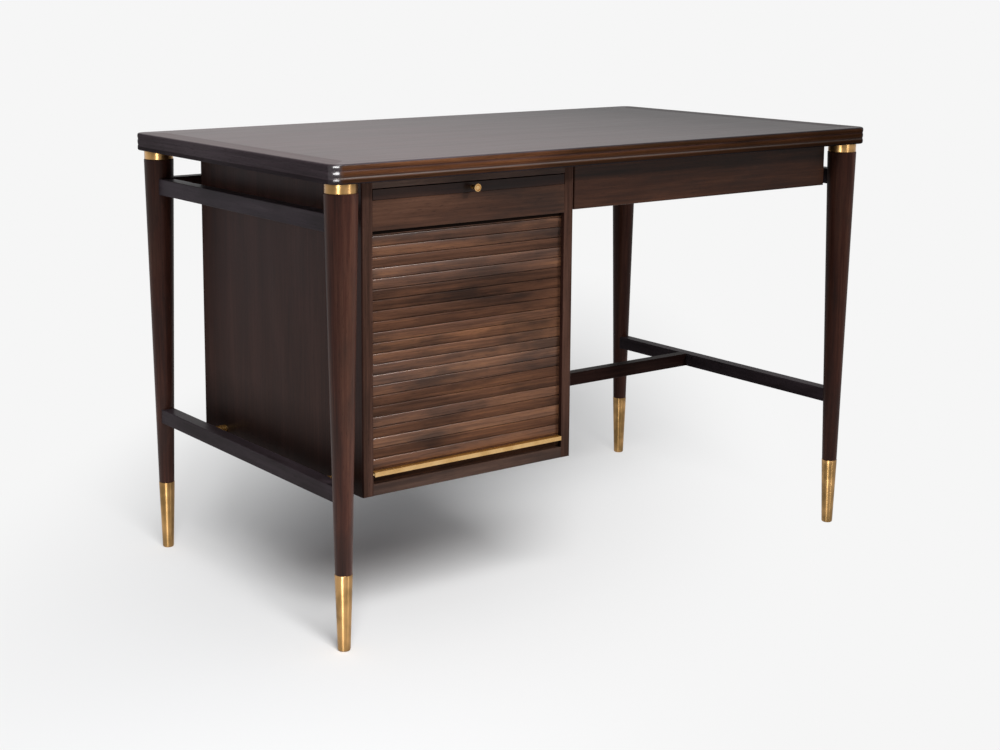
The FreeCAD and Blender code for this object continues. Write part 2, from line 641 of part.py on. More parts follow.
def slat(z0):
    x0 = INNER_X0 - GROOVE_DEPTH + SEAT
    x1 = INNER_X1 + GROOVE_DEPTH - SEAT
    z1 = z0 + SLAT_PITCH - SLAT_GAP
    points = [(x0, SLAT_Y1, z0), (x0, SLAT_Y0 + SLAT_CHAMFER, z0), (x0, SLAT_Y0, z0 + SLAT_CHAMFER),
              (x0, SLAT_Y0, z1 - SLAT_CHAMFER), (x0, SLAT_Y0 + SLAT_CHAMFER, z1), (x0, SLAT_Y1, z1),
              (x0, SLAT_Y1, z0)]
    return Part.Face(outline(points)).extrude(V(x1 - x0, 0, 0))


def handle_screws():
    xs = spread(INNER_X0 + HANDLE_SCREW_INSET, INNER_X1 - HANDLE_SCREW_INSET, HANDLE_SCREW_COUNT)
    z = (HANDLE_Z0 + HANDLE_Z1 - HANDLE_THICKNESS) / 2
    back = SLAT_Y0 + LIFT_RAIL_THICKNESS
    return [countersunk((x, back, z), (0, -1, 0), HANDLE_SCREW_DIAMETER, HANDLE_SCREW_HEAD,
                        LIFT_RAIL_THICKNESS + HANDLE_THICKNESS) for x in xs]


def make_tambour():
    keep("tambour_slats", Part.makeCompound([slat(SLAT_Z0 + n * SLAT_PITCH) for n in range(SLAT_COUNT)]))
    canvas_z1 = SLAT_Z0 + SLAT_COUNT * SLAT_PITCH - SLAT_GAP
    keep("tambour_canvas", box(INNER_X0 + CANVAS_INSET, INNER_X1 - CANVAS_INSET,
                               SLAT_Y1, SLAT_Y1 + CANVAS_THICKNESS, SLAT_Z0, canvas_z1))
    screws = handle_screws()
    tongue = GROOVE_DEPTH - SEAT
    rail = box(INNER_X0 - tongue, INNER_X1 + tongue, SLAT_Y0, SLAT_Y1, LIFT_Z0, LIFT_Z1)
    rail = rail.fuse(box(INNER_X0 + SIDE_PLAY, INNER_X1 - SIDE_PLAY, SLAT_Y0, SLAT_Y0 + LIFT_RAIL_THICKNESS,
                         LIFT_Z0, LIFT_Z1)).removeSplitter()
    keep("lifting_rail", rail.cut(screws))
    x0, x1 = INNER_X0 + HANDLE_END_GAP, INNER_X1 - HANDLE_END_GAP
    bar = box(x0, x1, SLAT_Y0 - HANDLE_REACH, SLAT_Y0, HANDLE_Z0, HANDLE_Z1)
    bar = bar.cut(box(x0, x1, SLAT_Y0 - HANDLE_REACH + HANDLE_THICKNESS, SLAT_Y0 - HANDLE_THICKNESS,
                      HANDLE_Z0, HANDLE_Z1 - HANDLE_THICKNESS))
    keep("handle_bar", bar.cut(screws))
    keep("handle_screws", Part.makeCompound(screws))


# ---- drawer ----------------------------------------------------------------------------------

def runner_band(grow):
    middle = (DRAWER_BOX_Z0 + DRAWER_BOX_Z1) / 2
    half = DRAWER_RUNNER_HEIGHT / 2 + grow
    return middle - half, middle + half


def make_drawer():
    keep("drawer_front", eased(
        box(PED_X1 + DRAWER_SEAM, HOUSING_X1, FRONT_Y, DRAWER_FRONT_Y1, DRAWER_Z0, DRAWER_Z1),
        SIDE_ROUNDING / 2, lambda bb: bb.YMax < FRONT_Y + 1))
    wall = DRAWER_SIDE_THICKNESS
    inner_x0, inner_x1 = DRAWER_X0 + wall, DRAWER_X1 - wall
    floor_z0 = DRAWER_BOX_Z0 + DRAWER_BOTTOM_RISE
    floor_z1 = floor_z0 + DRAWER_BOTTOM_THICKNESS
    bottom = box(inner_x0 - DRAWER_GROOVE_DEPTH, inner_x1 + DRAWER_GROOVE_DEPTH,
                 DRAWER_FRONT_Y1, DRAWER_Y1, floor_z0, floor_z1)
    keep("drawer_bottom", bottom)
    keep("drawer_back", box(inner_x0, inner_x1, DRAWER_Y1 - wall, DRAWER_Y1, floor_z1, DRAWER_BOX_Z1))
    track = runner_band(RUN)
    for name, x0, x1, groove in (
            ("left", DRAWER_X0, inner_x0, (DRAWER_X0, DRAWER_X0 + DRAWER_GROOVE_DEPTH)),
            ("right", inner_x1, DRAWER_X1, (DRAWER_X1 - DRAWER_GROOVE_DEPTH, DRAWER_X1))):
        side = box(x0, x1, DRAWER_FRONT_Y1, DRAWER_Y1, DRAWER_BOX_Z0, DRAWER_BOX_Z1)
        side = side.cut([bottom, box(*groove, DRAWER_FRONT_Y1 + RUNNER_WIDTH, DRAWER_Y1, *track)])
        keep("drawer_side_" + name, side)


def dowel_places():
    half = HOUSING_THICKNESS / 2
    side_x = HOUSING_X0 + half
    back_y = PED_Y1 - half
    first_y = DRAWER_FRONT_Y1 + DOWEL_INSET
    places = [(side_x, y) for y in spread(first_y, PED_Y1 - DOWEL_INSET, DOWEL_COUNT)]
    places += [(x, back_y) for x in spread(PED_X1 + DOWEL_INSET, HOUSING_X0 - DOWEL_INSET, DOWEL_COUNT)]
    return places


def make_housing():
    z0 = SLAB_Z - HOUSING_HEIGHT
    buried = DOWEL_LENGTH - DOWEL_IN_TOP
    holes = [rod(DOWEL_DIAMETER / 2 + FIT, (x, y, SLAB_Z - buried - FIT), (0, 0, 1), buried + FIT)
             for x, y in dowel_places()]
    dowels = [rod(DOWEL_DIAMETER / 2, (x, y, SLAB_Z - buried), (0, 0, 1), DOWEL_LENGTH)
              for x, y in dowel_places()]
    side = box(HOUSING_X0, HOUSING_X0 + HOUSING_THICKNESS, DRAWER_FRONT_Y1 + SEAT, PED_Y1, z0, SLAB_Z)
    back = box(PED_X1, HOUSING_X0, PED_Y1 - HOUSING_THICKNESS, PED_Y1, z0, SLAB_Z)
    keep("housing_side", side.cut(holes))
    keep("housing_back", back.cut(holes))
    keep("housing_dowels", Part.makeCompound(dowels))
    reach = DRAWER_GROOVE_DEPTH - RUN
    run_y = (DRAWER_FRONT_Y1 + RUNNER_WIDTH + RUN, PED_Y1 - HOUSING_THICKNESS)
    band = runner_band(0.0)
    keep("drawer_runner_left", box(PED_X1, DRAWER_X0 + reach, *run_y, *band))
    keep("drawer_runner_right", box(DRAWER_X1 - reach, HOUSING_X0, *run_y, *band))


# ---- everything ------------------------------------------------------------------------------

make_top()
make_frame()
make_stretcher()
make_spacers()
make_pedestal()
make_slide()
make_tambour()
make_drawer()
make_housing()

os.makedirs("parts", exist_ok=True)
for name, shape in parts.items():
    shape.exportStep("parts/" + name + ".step")
    print(name, len(shape.Solids), round(shape.Volume))
print("tambour travel", FASCIA_Z - SEAT - HANDLE_Z1, "slats", SLAT_COUNT, "pitch", SLAT_PITCH)
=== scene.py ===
# %% [markdown]
# # A desk with a tambour cupboard
# This lesson dresses a writing desk of dark lacquered walnut and brass. The shapes and places of
# the wood were settled in a CAD program and packed, and here that model is loaded as a fixed
# frame. Pieces that gain from softer edges or finer shapes are built again at the same places,
# and every piece gets a material made of nodes. One unit of the scene is one metre.

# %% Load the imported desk
import json
import math

import bmesh
import bpy
from mathutils import Matrix, Vector

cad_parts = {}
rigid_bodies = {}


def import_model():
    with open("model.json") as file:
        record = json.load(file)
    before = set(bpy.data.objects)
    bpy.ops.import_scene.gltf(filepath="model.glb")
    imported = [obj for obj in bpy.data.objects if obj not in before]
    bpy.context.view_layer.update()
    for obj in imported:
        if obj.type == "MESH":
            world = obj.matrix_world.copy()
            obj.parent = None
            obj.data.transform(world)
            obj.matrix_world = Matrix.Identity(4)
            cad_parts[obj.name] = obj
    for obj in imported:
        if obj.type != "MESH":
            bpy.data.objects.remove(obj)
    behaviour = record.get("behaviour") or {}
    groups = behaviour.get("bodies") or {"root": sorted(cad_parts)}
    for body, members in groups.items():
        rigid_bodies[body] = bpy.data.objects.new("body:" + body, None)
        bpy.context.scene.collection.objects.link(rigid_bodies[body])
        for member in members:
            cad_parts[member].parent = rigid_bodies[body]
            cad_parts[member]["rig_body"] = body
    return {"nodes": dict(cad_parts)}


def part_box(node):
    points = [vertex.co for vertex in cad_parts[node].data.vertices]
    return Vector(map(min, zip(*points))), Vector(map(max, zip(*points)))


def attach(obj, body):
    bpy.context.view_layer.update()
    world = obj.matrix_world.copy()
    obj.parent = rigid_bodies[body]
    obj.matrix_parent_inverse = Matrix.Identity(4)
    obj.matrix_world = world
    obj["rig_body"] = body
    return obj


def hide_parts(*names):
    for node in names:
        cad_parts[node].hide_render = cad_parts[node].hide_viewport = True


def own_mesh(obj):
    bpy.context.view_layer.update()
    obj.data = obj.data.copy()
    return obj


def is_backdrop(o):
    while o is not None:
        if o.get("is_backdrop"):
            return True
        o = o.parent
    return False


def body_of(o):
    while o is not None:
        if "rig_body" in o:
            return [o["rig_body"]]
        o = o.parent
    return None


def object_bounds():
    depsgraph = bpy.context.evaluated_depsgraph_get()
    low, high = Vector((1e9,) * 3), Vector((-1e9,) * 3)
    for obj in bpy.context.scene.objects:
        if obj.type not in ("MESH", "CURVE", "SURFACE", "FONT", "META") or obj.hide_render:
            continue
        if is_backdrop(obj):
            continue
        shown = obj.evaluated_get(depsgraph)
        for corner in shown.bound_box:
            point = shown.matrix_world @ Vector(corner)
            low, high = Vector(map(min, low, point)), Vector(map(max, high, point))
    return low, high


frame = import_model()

cad_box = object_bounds()
nodes = frame["nodes"]
MM = 0.001
sides = [round(side, 3) for side in cad_box[1] - cad_box[0]]
print("The desk is", sides, "metres, in", len(nodes), "nodes")

# %% [markdown]
# ## Two small helpers
# Shader trees and geometry trees are built the same way: add a node, choose its settings, and
# give each input a value or a wire. They could be wired by hand in the editor, but one function
# that does all three makes the recipes below read like lists. Colours are written as on the
# screen, in sRGB hex, and turned to the linear numbers that the renderer works with.

# %% Helpers for nodes and colours
def colour(text):
    """Linear RGBA from an sRGB hex colour such as #8A5A33."""
    channels = [int(text[n:n + 2], 16) / 255 for n in (1, 3, 5)]
    return [c / 12.92 if c <= 0.04045 else ((c + 0.055) / 1.055) ** 2.4 for c in channels] + [1.0]


def add(tree, kind, inputs=None, stops=(), **settings):
    """Adds one node.

    Each input takes a plain value, or the output socket that feeds it. `stops` are the places and
    the colours of a colour ramp.
    """
    node = tree.nodes.new(kind)
    for name, value in settings.items():
        setattr(node, name, value)
    for name, value in (inputs or {}).items():
        if isinstance(value, bpy.types.NodeSocket):
            tree.links.new(value, node.inputs[name])
        else:
            node.inputs[name].default_value = value
    stops = list(stops)
    if stops:
        elements = node.color_ramp.elements
        while len(elements) < len(stops):
            elements.new(0.5)
        for element, (position, text) in zip(elements, stops):
            element.position = position
            element.color = colour(text)
    return node


# %% [markdown]
# ## The camera
# The desk is seen from its front left corner, from a little above the top. A camera that looks
# down makes the legs lean together, so it tilts only a little, and the picture is taken from
# below and to the left of the middle of what the lens could see. That is called a lens shift.

# %% The camera
CAMERA_PLACE = (-1.8562, -2.3698, 1.0077)
CAMERA_TURN, CAMERA_TILT, CAMERA_ROLL = (math.radians(a) for a in (-35.54, -9.39, 0.09))

camera = bpy.data.objects.new("camera", bpy.data.cameras.new("camera"))
bpy.context.scene.collection.objects.link(camera)
bpy.context.scene.camera = camera
camera.data.sensor_width = 36.0
camera.data.lens = 60.7
camera.data.shift_x = 0.0658
camera.data.shift_y = -0.1130
camera.matrix_world = (Matrix.Translation(CAMERA_PLACE)
                       @ Matrix.Rotation(CAMERA_TURN, 4, "Z")
                       @ Matrix.Rotation(math.pi / 2 + CAMERA_TILT, 4, "X")
                       @ Matrix.Rotation(CAMERA_ROLL, 4, "Z"))
print("The camera's lens is", camera.data.lens, "mm")

# %% [markdown]
# ## What only the camera sees
# A furniture studio has a pale sweep of paper behind and below the desk, lit so evenly that no
# horizon shows. Lighting a real sweep like that takes many lamps. Here an even pale tone is shown
# to the camera and to reflections alone, while light that bounces about the room still meets
# plain matt paint. The kind of ray tells the two apart.

# %% Helpers for materials and rays
PAPER = "#F6F6F6"

# Colours are shown as they are, without the look of a film.
bpy.context.scene.view_settings.view_transform = "Standard"


def new_material(name):
    material = bpy.data.materials.new(name)
    material.use_nodes = True
    material.node_tree.nodes.clear()
    return material, material.node_tree


def seen_directly(tree):
    """1 for the camera and for what polish and glass show, 0 for scattered light."""
    rays = add(tree, "ShaderNodeLightPath").outputs
    seen = add(tree, "ShaderNodeMath", {0: rays["Is Camera Ray"], 1: rays["Is Glossy Ray"]},
               operation="MAXIMUM").outputs[0]
    return add(tree, "ShaderNodeMath", {0: seen, 1: rays["Is Transmission Ray"]},
               operation="MAXIMUM").outputs[0]


# %% [markdown]
# ## The floor
# The floor is matt paper that catches the desk's shadow. Within a long oval round the desk it is
# plain paper, and outwards it fades into the even tone. A Mapping node turns and stretches the
# oval to lie along the shadow.

# %% The floor
FLOOR_WHITE = "#F2F2F2"
SHADOW_MIDDLE, SHADOW_TURN, SHADOW_REACH = (-0.24, 0.09, 0.0), -0.8, (0.79, 3.15, 1.0)
REACH = 30.0

# Studio paper: flat, without any gloss, a touch darker than the backdrop.
floor_paint, tree = new_material("Studio paper, matt")
here = add(tree, "ShaderNodeTexCoord").outputs["Object"]
oval = add(tree, "ShaderNodeMapping", {
    "Vector": here, "Location": SHADOW_MIDDLE, "Rotation": (0, 0, SHADOW_TURN), "Scale": SHADOW_REACH},
           vector_type="TEXTURE").outputs[0]
distance = add(tree, "ShaderNodeVectorMath", {0: oval}, operation="LENGTH").outputs["Value"]
fade = add(tree, "ShaderNodeMapRange", {"Value": distance}, interpolation_type="SMOOTHSTEP").outputs[0]
share = add(tree, "ShaderNodeMath", {0: fade, 1: seen_directly(tree)}, operation="MULTIPLY").outputs[0]
matt = add(tree, "ShaderNodeBsdfDiffuse", {"Color": colour(FLOOR_WHITE)})
even = add(tree, "ShaderNodeEmission", {"Color": colour(PAPER), "Strength": 1.0})
both = add(tree, "ShaderNodeMixShader", {0: share, 1: matt.outputs[0], 2: even.outputs[0]})
add(tree, "ShaderNodeOutputMaterial", {"Surface": both.outputs[0]})

floor_mesh = bpy.data.meshes.new("floor")
floor_mesh.from_pydata([(-REACH, -REACH, 0), (REACH, -REACH, 0), (REACH, REACH, 0), (-REACH, REACH, 0)],
                       [], [(0, 1, 2, 3)])
floor_mesh.materials.append(floor_paint)
floor = bpy.data.objects.new("floor", floor_mesh)
bpy.context.scene.collection.objects.link(floor)
floor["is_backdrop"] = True
print("The floor reaches", REACH, "m each way")

# %% [markdown]
# ## The room
# Beyond the floor the world itself is lit. It gives the desk a little cool light from everywhere,
# as white walls do, and shows the camera the same even tone as the floor's far end.

# %% The room
world = bpy.data.worlds.new("studio")
bpy.context.scene.world = world
world.use_nodes = True
tree = world.node_tree
tree.nodes.clear()
room = add(tree, "ShaderNodeBackground", {"Color": colour("#F1F4F8"), "Strength": 0.28})
backdrop = add(tree, "ShaderNodeBackground", {"Color": colour(PAPER), "Strength": 1.0})
both = add(tree, "ShaderNodeMixShader", {
    0: seen_directly(tree), 1: room.outputs[0], 2: backdrop.outputs[0]})
add(tree, "ShaderNodeOutputWorld", {"Surface": both.outputs[0]})
print("The room's world is", world.name)

# %% [markdown]
# ## Soft boxes
# A studio lights furniture with soft boxes, lamps behind a sheet of white cloth. An area lamp of
# the same size does what a soft box does. It is placed by what it is aimed at, the direction it
# is seen in from there, and how far off it stands, since that is how its light is judged.

# %% Helpers for lamps
DESK_MIDDLE = (-0.1, -0.2, 0.5)


def soft_box(name, towards, distance, size, watts, aim=DESK_MIDDLE):
    """A rectangular lamp, `distance` metres from `aim` in the direction `towards`, looking back at it."""
    lamp = bpy.data.objects.new(name, bpy.data.lights.new(name, "AREA"))
    bpy.context.scene.collection.objects.link(lamp)
    lamp.data.shape = "RECTANGLE"
    lamp.data.size, lamp.data.size_y = size
    lamp.data.energy = watts
    direction = Vector(towards).normalized()
    lamp.location = Vector(aim) + direction * distance
    lamp.rotation_mode = "QUATERNION"
    lamp.rotation_quaternion = direction.to_track_quat("Z", "Y")
    return lamp


def shines_on(lamp, pieces, state="INCLUDE"):
    """Lets a lamp shine on these pieces alone, or with EXCLUDE on all but these."""
    chosen = bpy.data.collections.new(lamp.name + " receivers")
    for n, piece in enumerate(pieces):
        chosen.objects.link(piece)
        chosen.collection_objects[n].light_linking.link_state = state
    lamp.light_linking.receiver_collection = chosen


# %% [markdown]
# ## Lamps
# One fairly small soft box stands in front of the desk, to the right and above. It draws the
# crisp shadow of the overhanging top. A wide box overhead softens everything else. The window
# at the left only shows in polished surfaces. One set of lamps could light desk and floor alike,
# but the floor has a wide box of its own, so that its shadow can be soft and pale while the desk
# keeps its contrast. That trick is called light linking: each lamp is told what it shines on.

# %% Lamps
key = soft_box("key", (0.53, -0.65, 0.55), 3.0, (0.32, 0.32), 64.0)
key.visible_glossy = False
overhead = soft_box("overhead", (-0.42, -0.66, 1.6), 2.6, (1.4, 1.4), 64.0)
window = soft_box("window", (-0.53, 0.85, 0.05), 3.0, (2.4, 2.0), 7.0)
window.data.color = colour("#DDE6FF")[:3]
window.visible_diffuse = False
floor_light = soft_box("floor light", (-0.41, -0.86, 0.84), 5.0, (2.5, 2.5), 300.0)
shines_on(floor_light, [floor])
shines_on(key, [floor], "EXCLUDE")
shines_on(overhead, [floor], "EXCLUDE")
print("The desk is lit by", key.name + ",", overhead.name, "and", window.name)

# %% [markdown]
# ## Patterns of the grain
# The wood is walnut, planed and sanded, stained dark and sprayed with a satin lacquer. Four
# patterns make it: broad figure, where the colour drifts over a hand's width; fine streaks a few
# millimetres apart; pores, short dark dashes; and dark clouds, where the stain went deeper. All
# run with the grain, so each noise is drawn out along one axis. Pictures of wood could be wrapped
# round the boards instead, but noise in space has no seams and needs no unwrapping. Real pores
# are a fifth of a millimetre wide. They are drawn five times as coarse, since they wouldn't show
# from across a room.

# %% Patterns of the grain
def drawn_out(tree, where, grain, across, along, **noise):
    """Noise stretched along the grain. One feature is `across` mm wide and `along` mm long."""
    scale = [1 / (across * MM)] * 3
    scale["XYZ".index(grain)] = 1 / (along * MM)
    place = add(tree, "ShaderNodeMapping", {"Vector": where, "Scale": scale})
    inputs = {"Vector": place.outputs[0], "Scale": 1.0}
    inputs.update({name.replace("_", " ").title(): value for name, value in noise.items()})
    return add(tree, "ShaderNodeTexNoise", inputs).outputs["Fac"]


def wood_patterns(tree, where, own_place, grain):
    """The strength of each pattern. The figure takes no notice of `own_place`, which tells pieces apart."""
    pore = drawn_out(tree, own_place, grain, 1.1, 13, detail=2.0)
    return {"figure": drawn_out(tree, where, grain, 48, 420, detail=3.0, distortion=0.7),
            "streak": drawn_out(tree, own_place, grain, 4.0, 150, detail=5.0, roughness=0.65),
            "pore": add(tree, "ShaderNodeMapRange", {
                "Value": pore, "From Min": 0.60, "From Max": 0.72, "To Min": 0.0,
                "To Max": 0.45}).outputs[0],
            "cloud": drawn_out(tree, own_place, grain, 46, 150, detail=3.0, roughness=0.6)}


# %% [markdown]
# ## Painted light and shade by place
# The light on the desk falls off from its left end to its right, and that falloff is painted in:
# colour and gloss are full at the left end and fall off along the desk. Some boards change at a
# height as well. There is painted shade under the top's edge, in the shutter's slot and low on the
# pedestal sides, and a painted sheen of the pale floor low on the legs. Such changes could be
# painted on each board. Here each function works out a plain number from the place on the desk,
# so the change runs on over whatever stands there.

# %% Strengths from place to place
FALLOFF_START, FALLOFF_END = -0.40, 0.45
SOFT_RIM = 0.5 * MM


def painted_light_falloff(tree, where, far):
    """1 at the left end of the desk, falling to `far` at the right end: a painted falloff of the light."""
    along = add(tree, "ShaderNodeSeparateXYZ", {"Vector": where}).outputs["X"]
    return add(tree, "ShaderNodeMapRange", {
        "Value": along, "From Min": FALLOFF_START, "From Max": FALLOFF_END, "To Min": 1.0,
        "To Max": far}).outputs[0]


def past_height(tree, where, start, end, strength):
    """1 as far as the height `start`, changing to `strength` at the height `end`."""
    height = add(tree, "ShaderNodeSeparateXYZ", {"Vector": where}).outputs["Z"]
    return add(tree, "ShaderNodeMapRange", {
        "Value": height, "From Min": start, "From Max": end, "To Min": 1.0, "To Max": strength}).outputs[0]


def in_band(tree, where, middle, half, inside, outside):
    """`inside` up to `half` away from the height `middle`, and `outside` beyond that."""
    height = add(tree, "ShaderNodeSeparateXYZ", {"Vector": where}).outputs["Z"]
    off = add(tree, "ShaderNodeMath", {0: height, 1: middle}, operation="SUBTRACT").outputs[0]
    away = add(tree, "ShaderNodeMath", {0: off}, operation="ABSOLUTE").outputs[0]
    return add(tree, "ShaderNodeMapRange", {
        "Value": away, "From Min": half - SOFT_RIM, "From Max": half, "To Min": inside,
        "To Max": outside}).outputs[0]


# %% [markdown]
# ## Faces that look another way
# A board is rarely the same on all its faces, and a lipping of other wood may cover an edge. On
# the top's boards, the tones by the way a face looks are painted light and shade instead:
# painted light on faces turned to the lamp, painted shade on faces turned from it, and a darker
# top face against the light from above. The normal says which way a face looks, and its share
# along one axis is near 1 or -1 on the faces that look along that axis.

# %% Strengths by the way a face looks
def looking(tree, way, start, end):
    """0 on faces whose normal has the share `start` along the axis `way`, rising to 1 at the share `end`."""
    normal = add(tree, "ShaderNodeNewGeometry").outputs["Normal"]
    share = add(tree, "ShaderNodeSeparateXYZ", {"Vector": normal}).outputs[way]
    return add(tree, "ShaderNodeMapRange", {"Value": share, "From Min": start, "From Max": end}).outputs[0]


def looking_forward(tree):
    return looking(tree, "Y", -0.90, -0.99)


def looking_up(tree):
    return looking(tree, "Z", 0.90, 0.99)


def strength_over(tree, where, far, shade, shaded_front):
    """The strength of a board's colour and gloss: the painted falloff of the light along the desk, and
    painted shade or sheen past a height.
    """
    strength = painted_light_falloff(tree, where, far)
    if not shade:
        return strength
    change = past_height(tree, where, *shade)
    if not shaded_front:
        change = add(tree, "ShaderNodeMix", {0: looking_forward(tree), 2: change, 3: 1.0}).outputs[0]
    return add(tree, "ShaderNodeMath", {0: strength, 1: change}, operation="MULTIPLY").outputs[0]


# %% [markdown]
# ## The stain
# The stain has three tones, dark, middle and pale, and figure and streaks together choose between
# them. One colour with noise in its brightness would be simpler, but stained walnut changes in
# hue as well, from nearly black to a warm brown. Clouds and pores then darken it.

# %% Stained wood
TONE_STEPS = (0.34, 0.50, 0.66)
STREAK_SHARE = 0.42
CLOUD, PORE = "#1E1816", "#150D0B"


def stained(tree, pattern, tones, front, top, patches, push):
    """The colour of the stain. `push` lightens or darkens a whole piece."""
    mixed = add(tree, "ShaderNodeMix", {
        0: STREAK_SHARE, 2: pattern["figure"], 3: pattern["streak"]}).outputs[0]
    if push is not None:
        mixed = add(tree, "ShaderNodeMath", {0: mixed, 1: push}, operation="ADD").outputs[0]
    stain = add(tree, "ShaderNodeValToRGB", {"Fac": mixed}, stops=zip(TONE_STEPS, tones)).outputs[0]
    # Faces turned forward or up take other tones. On the pedestal sides this is a lipping of other wood; on
    # the top's boards it is painted light and shade.
    for other, turned_there in ((front, looking_forward), (top, looking_up)):
        if other:
            there = add(tree, "ShaderNodeValToRGB", {"Fac": mixed}, stops=zip(TONE_STEPS, other))
            stain = add(tree, "ShaderNodeMix", {0: turned_there(tree), 6: stain, 7: there.outputs[0]},
                        data_type="RGBA").outputs[2]
    cloud = add(tree, "ShaderNodeMapRange", {
        "Value": pattern["cloud"], "From Min": 0.48, "From Max": 0.66, "To Min": 0.0,
        "To Max": patches}).outputs[0]
    clouded = add(tree, "ShaderNodeMix", {0: cloud, 6: stain, 7: colour(CLOUD)}, data_type="RGBA").outputs[2]
    return add(tree, "ShaderNodeMix", {0: pattern["pore"], 6: clouded, 7: colour(PORE)},
               data_type="RGBA").outputs[2]


# %% [markdown]
# ## Rubbed edges and a painted highlight
# Hands and dusters have rubbed the stain thin on the edges. The Bevel node rounds the normal
# there, and where that differs from the true one an edge must be near. The streaks break up the
# rubbing, as it never takes all of the stain. A pale line along one height is not wear but a
# painted highlight.

# %% Rubbed wood and a painted highlight
RUBBED_RADIUS, PAINTED_LINE_SHARE = 1.2, 0.9


def near_edge(tree, radius):
    """1 on a sharp edge, falling to 0 at `radius` mm from it."""
    rounded = add(tree, "ShaderNodeBevel", {"Radius": radius * MM}, samples=4).outputs[0]
    true = add(tree, "ShaderNodeNewGeometry").outputs["Normal"]
    alike = add(tree, "ShaderNodeVectorMath", {0: rounded, 1: true},
                operation="DOT_PRODUCT").outputs["Value"]
    return add(tree, "ShaderNodeMapRange", {"Value": alike, "From Min": 0.98, "From Max": 0.80}).outputs[0]


def edge_wear_and_painted_line(tree, where, stain, streak, pale, painted_line):
    """The stain, rubbed to its pale tone on edges, with a painted highlight: another tone along a line."""
    patchy = add(tree, "ShaderNodeMath", {0: near_edge(tree, RUBBED_RADIUS), 1: streak},
                 operation="MULTIPLY").outputs[0]
    thin = add(tree, "ShaderNodeMix", {0: patchy, 6: stain, 7: colour(pale)}, data_type="RGBA").outputs[2]
    if painted_line:
        # A painted highlight: a paler tone along one height, where a lamp's reflection would run.
        height, half, tone = painted_line
        line = in_band(tree, where, height, half, PAINTED_LINE_SHARE, 0.0)
        thin = add(tree, "ShaderNodeMix", {0: line, 6: thin, 7: colour(tone)}, data_type="RGBA").outputs[2]
    return thin


# %% [markdown]
# ## Gloss in bands
# The moulded edge of the top is not the same all over: its reeds are dull in their hollows, and
# polished bright on their crests and round the corners, where every passing sleeve rubs them.
# Each could be a piece of its own, but the edge is one moulding, so its gloss is given in bands
# of height.

# %% Gloss in bands
CORNER_GLOSS = 5.1


def banded_gloss(tree, where, bands):
    """The share of the usual gloss: that of each band, and CORNER_GLOSS round an upright corner."""
    gloss = 1.0
    for middle, half, kept in bands:
        band = in_band(tree, where, middle, half, kept, 1.0)
        gloss = add(tree, "ShaderNodeMath", {0: gloss, 1: band}, operation="MULTIPLY").outputs[0]
    normal = add(tree, "ShaderNodeNewGeometry").outputs["Normal"]
    shares = add(tree, "ShaderNodeSeparateXYZ", {"Vector": normal}).outputs
    slant = add(tree, "ShaderNodeMath", {0: shares["X"], 1: shares["Y"]}, operation="MULTIPLY").outputs[0]
    corner = add(tree, "ShaderNodeMapRange", {"Value": slant, "From Min": 0.12, "From Max": 0.30}).outputs[0]
    return add(tree, "ShaderNodeMix", {0: corner, 2: gloss, 3: CORNER_GLOSS}).outputs[0]


# %% [markdown]
# ## The lacquer
# A satin lacquer has a soft, weak gloss and lets the grain be felt. It is a clear coat over the
# wood's own gloss. The streaks make the surface a little rougher here and smoother there, and
# streaks and pores together give a relief of a tenth of a millimetre. Where rubbing has polished
# it, it is smoother and the relief is gone.

# %% The lacquer
POLISHED_ROUGHNESS, COAT_ROUGHNESS = 0.2, 0.18
WOOD_IOR, LACQUER_IOR = 1.5, 1.5
EDGE_SOFTNESS, GRAIN_DEPTH, GRAIN_FELT = 0.7 * MM, 0.12 * MM, 0.30


def lacquered(tree, where, wood, pattern, gleam, roughness, coat, bands):
    """Ends a tree with the wood's colour under a lacquer, through which streaks and pores are felt."""
    rough = add(tree, "ShaderNodeMapRange", {
        "Value": pattern["streak"], "To Min": roughness - 0.06, "To Max": roughness + 0.10}).outputs[0]
    relief = add(tree, "ShaderNodeMath", {0: pattern["streak"], 1: pattern["pore"]},
                 operation="SUBTRACT").outputs[0]
    if bands:
        gloss = banded_gloss(tree, where, bands)
        gleam = add(tree, "ShaderNodeMath", {0: gleam, 1: gloss}, operation="MULTIPLY").outputs[0]
        level = add(tree, "ShaderNodeMapRange", {
            "Value": gloss, "From Min": 1.0, "From Max": CORNER_GLOSS}).outputs[0]
        rough = add(tree, "ShaderNodeMix", {0: level, 2: rough, 3: POLISHED_ROUGHNESS}).outputs[0]
        relief = add(tree, "ShaderNodeMix", {0: level, 2: relief, 3: 0.0}).outputs[0]
    soft = add(tree, "ShaderNodeBevel", {"Radius": EDGE_SOFTNESS}, samples=4).outputs[0]
    felt = add(tree, "ShaderNodeBump", {
        "Strength": GRAIN_FELT, "Distance": GRAIN_DEPTH, "Height": relief, "Normal": soft}).outputs[0]
    surface = add(tree, "ShaderNodeBsdfPrincipled", {
        "Base Color": wood, "Roughness": rough, "IOR": WOOD_IOR, "Specular IOR Level": gleam,
        "Normal": felt, "Coat Weight": coat, "Coat Roughness": COAT_ROUGHNESS,
        "Coat IOR": LACQUER_IOR, "Coat Normal": soft})
    add(tree, "ShaderNodeOutputMaterial", {"Surface": surface.outputs[0]})


# %% [markdown]
# ## One recipe for every board
# All the boards are of one wood and one finish, so one recipe with a few measures makes them all,
# and a board differs from the next only by those. Pieces of one kind, such as the slats, share a
# material. Each of them carries a number of its own from 0 to 1, which moves the noise to another
# part of the tree and makes that piece a little lighter or darker, duller or glossier.

# %% Walnut under lacquer
ELSEWHERE_IN_TREE = (7.0, 3.0, 5.0)
PIECE_PUSH = 0.06


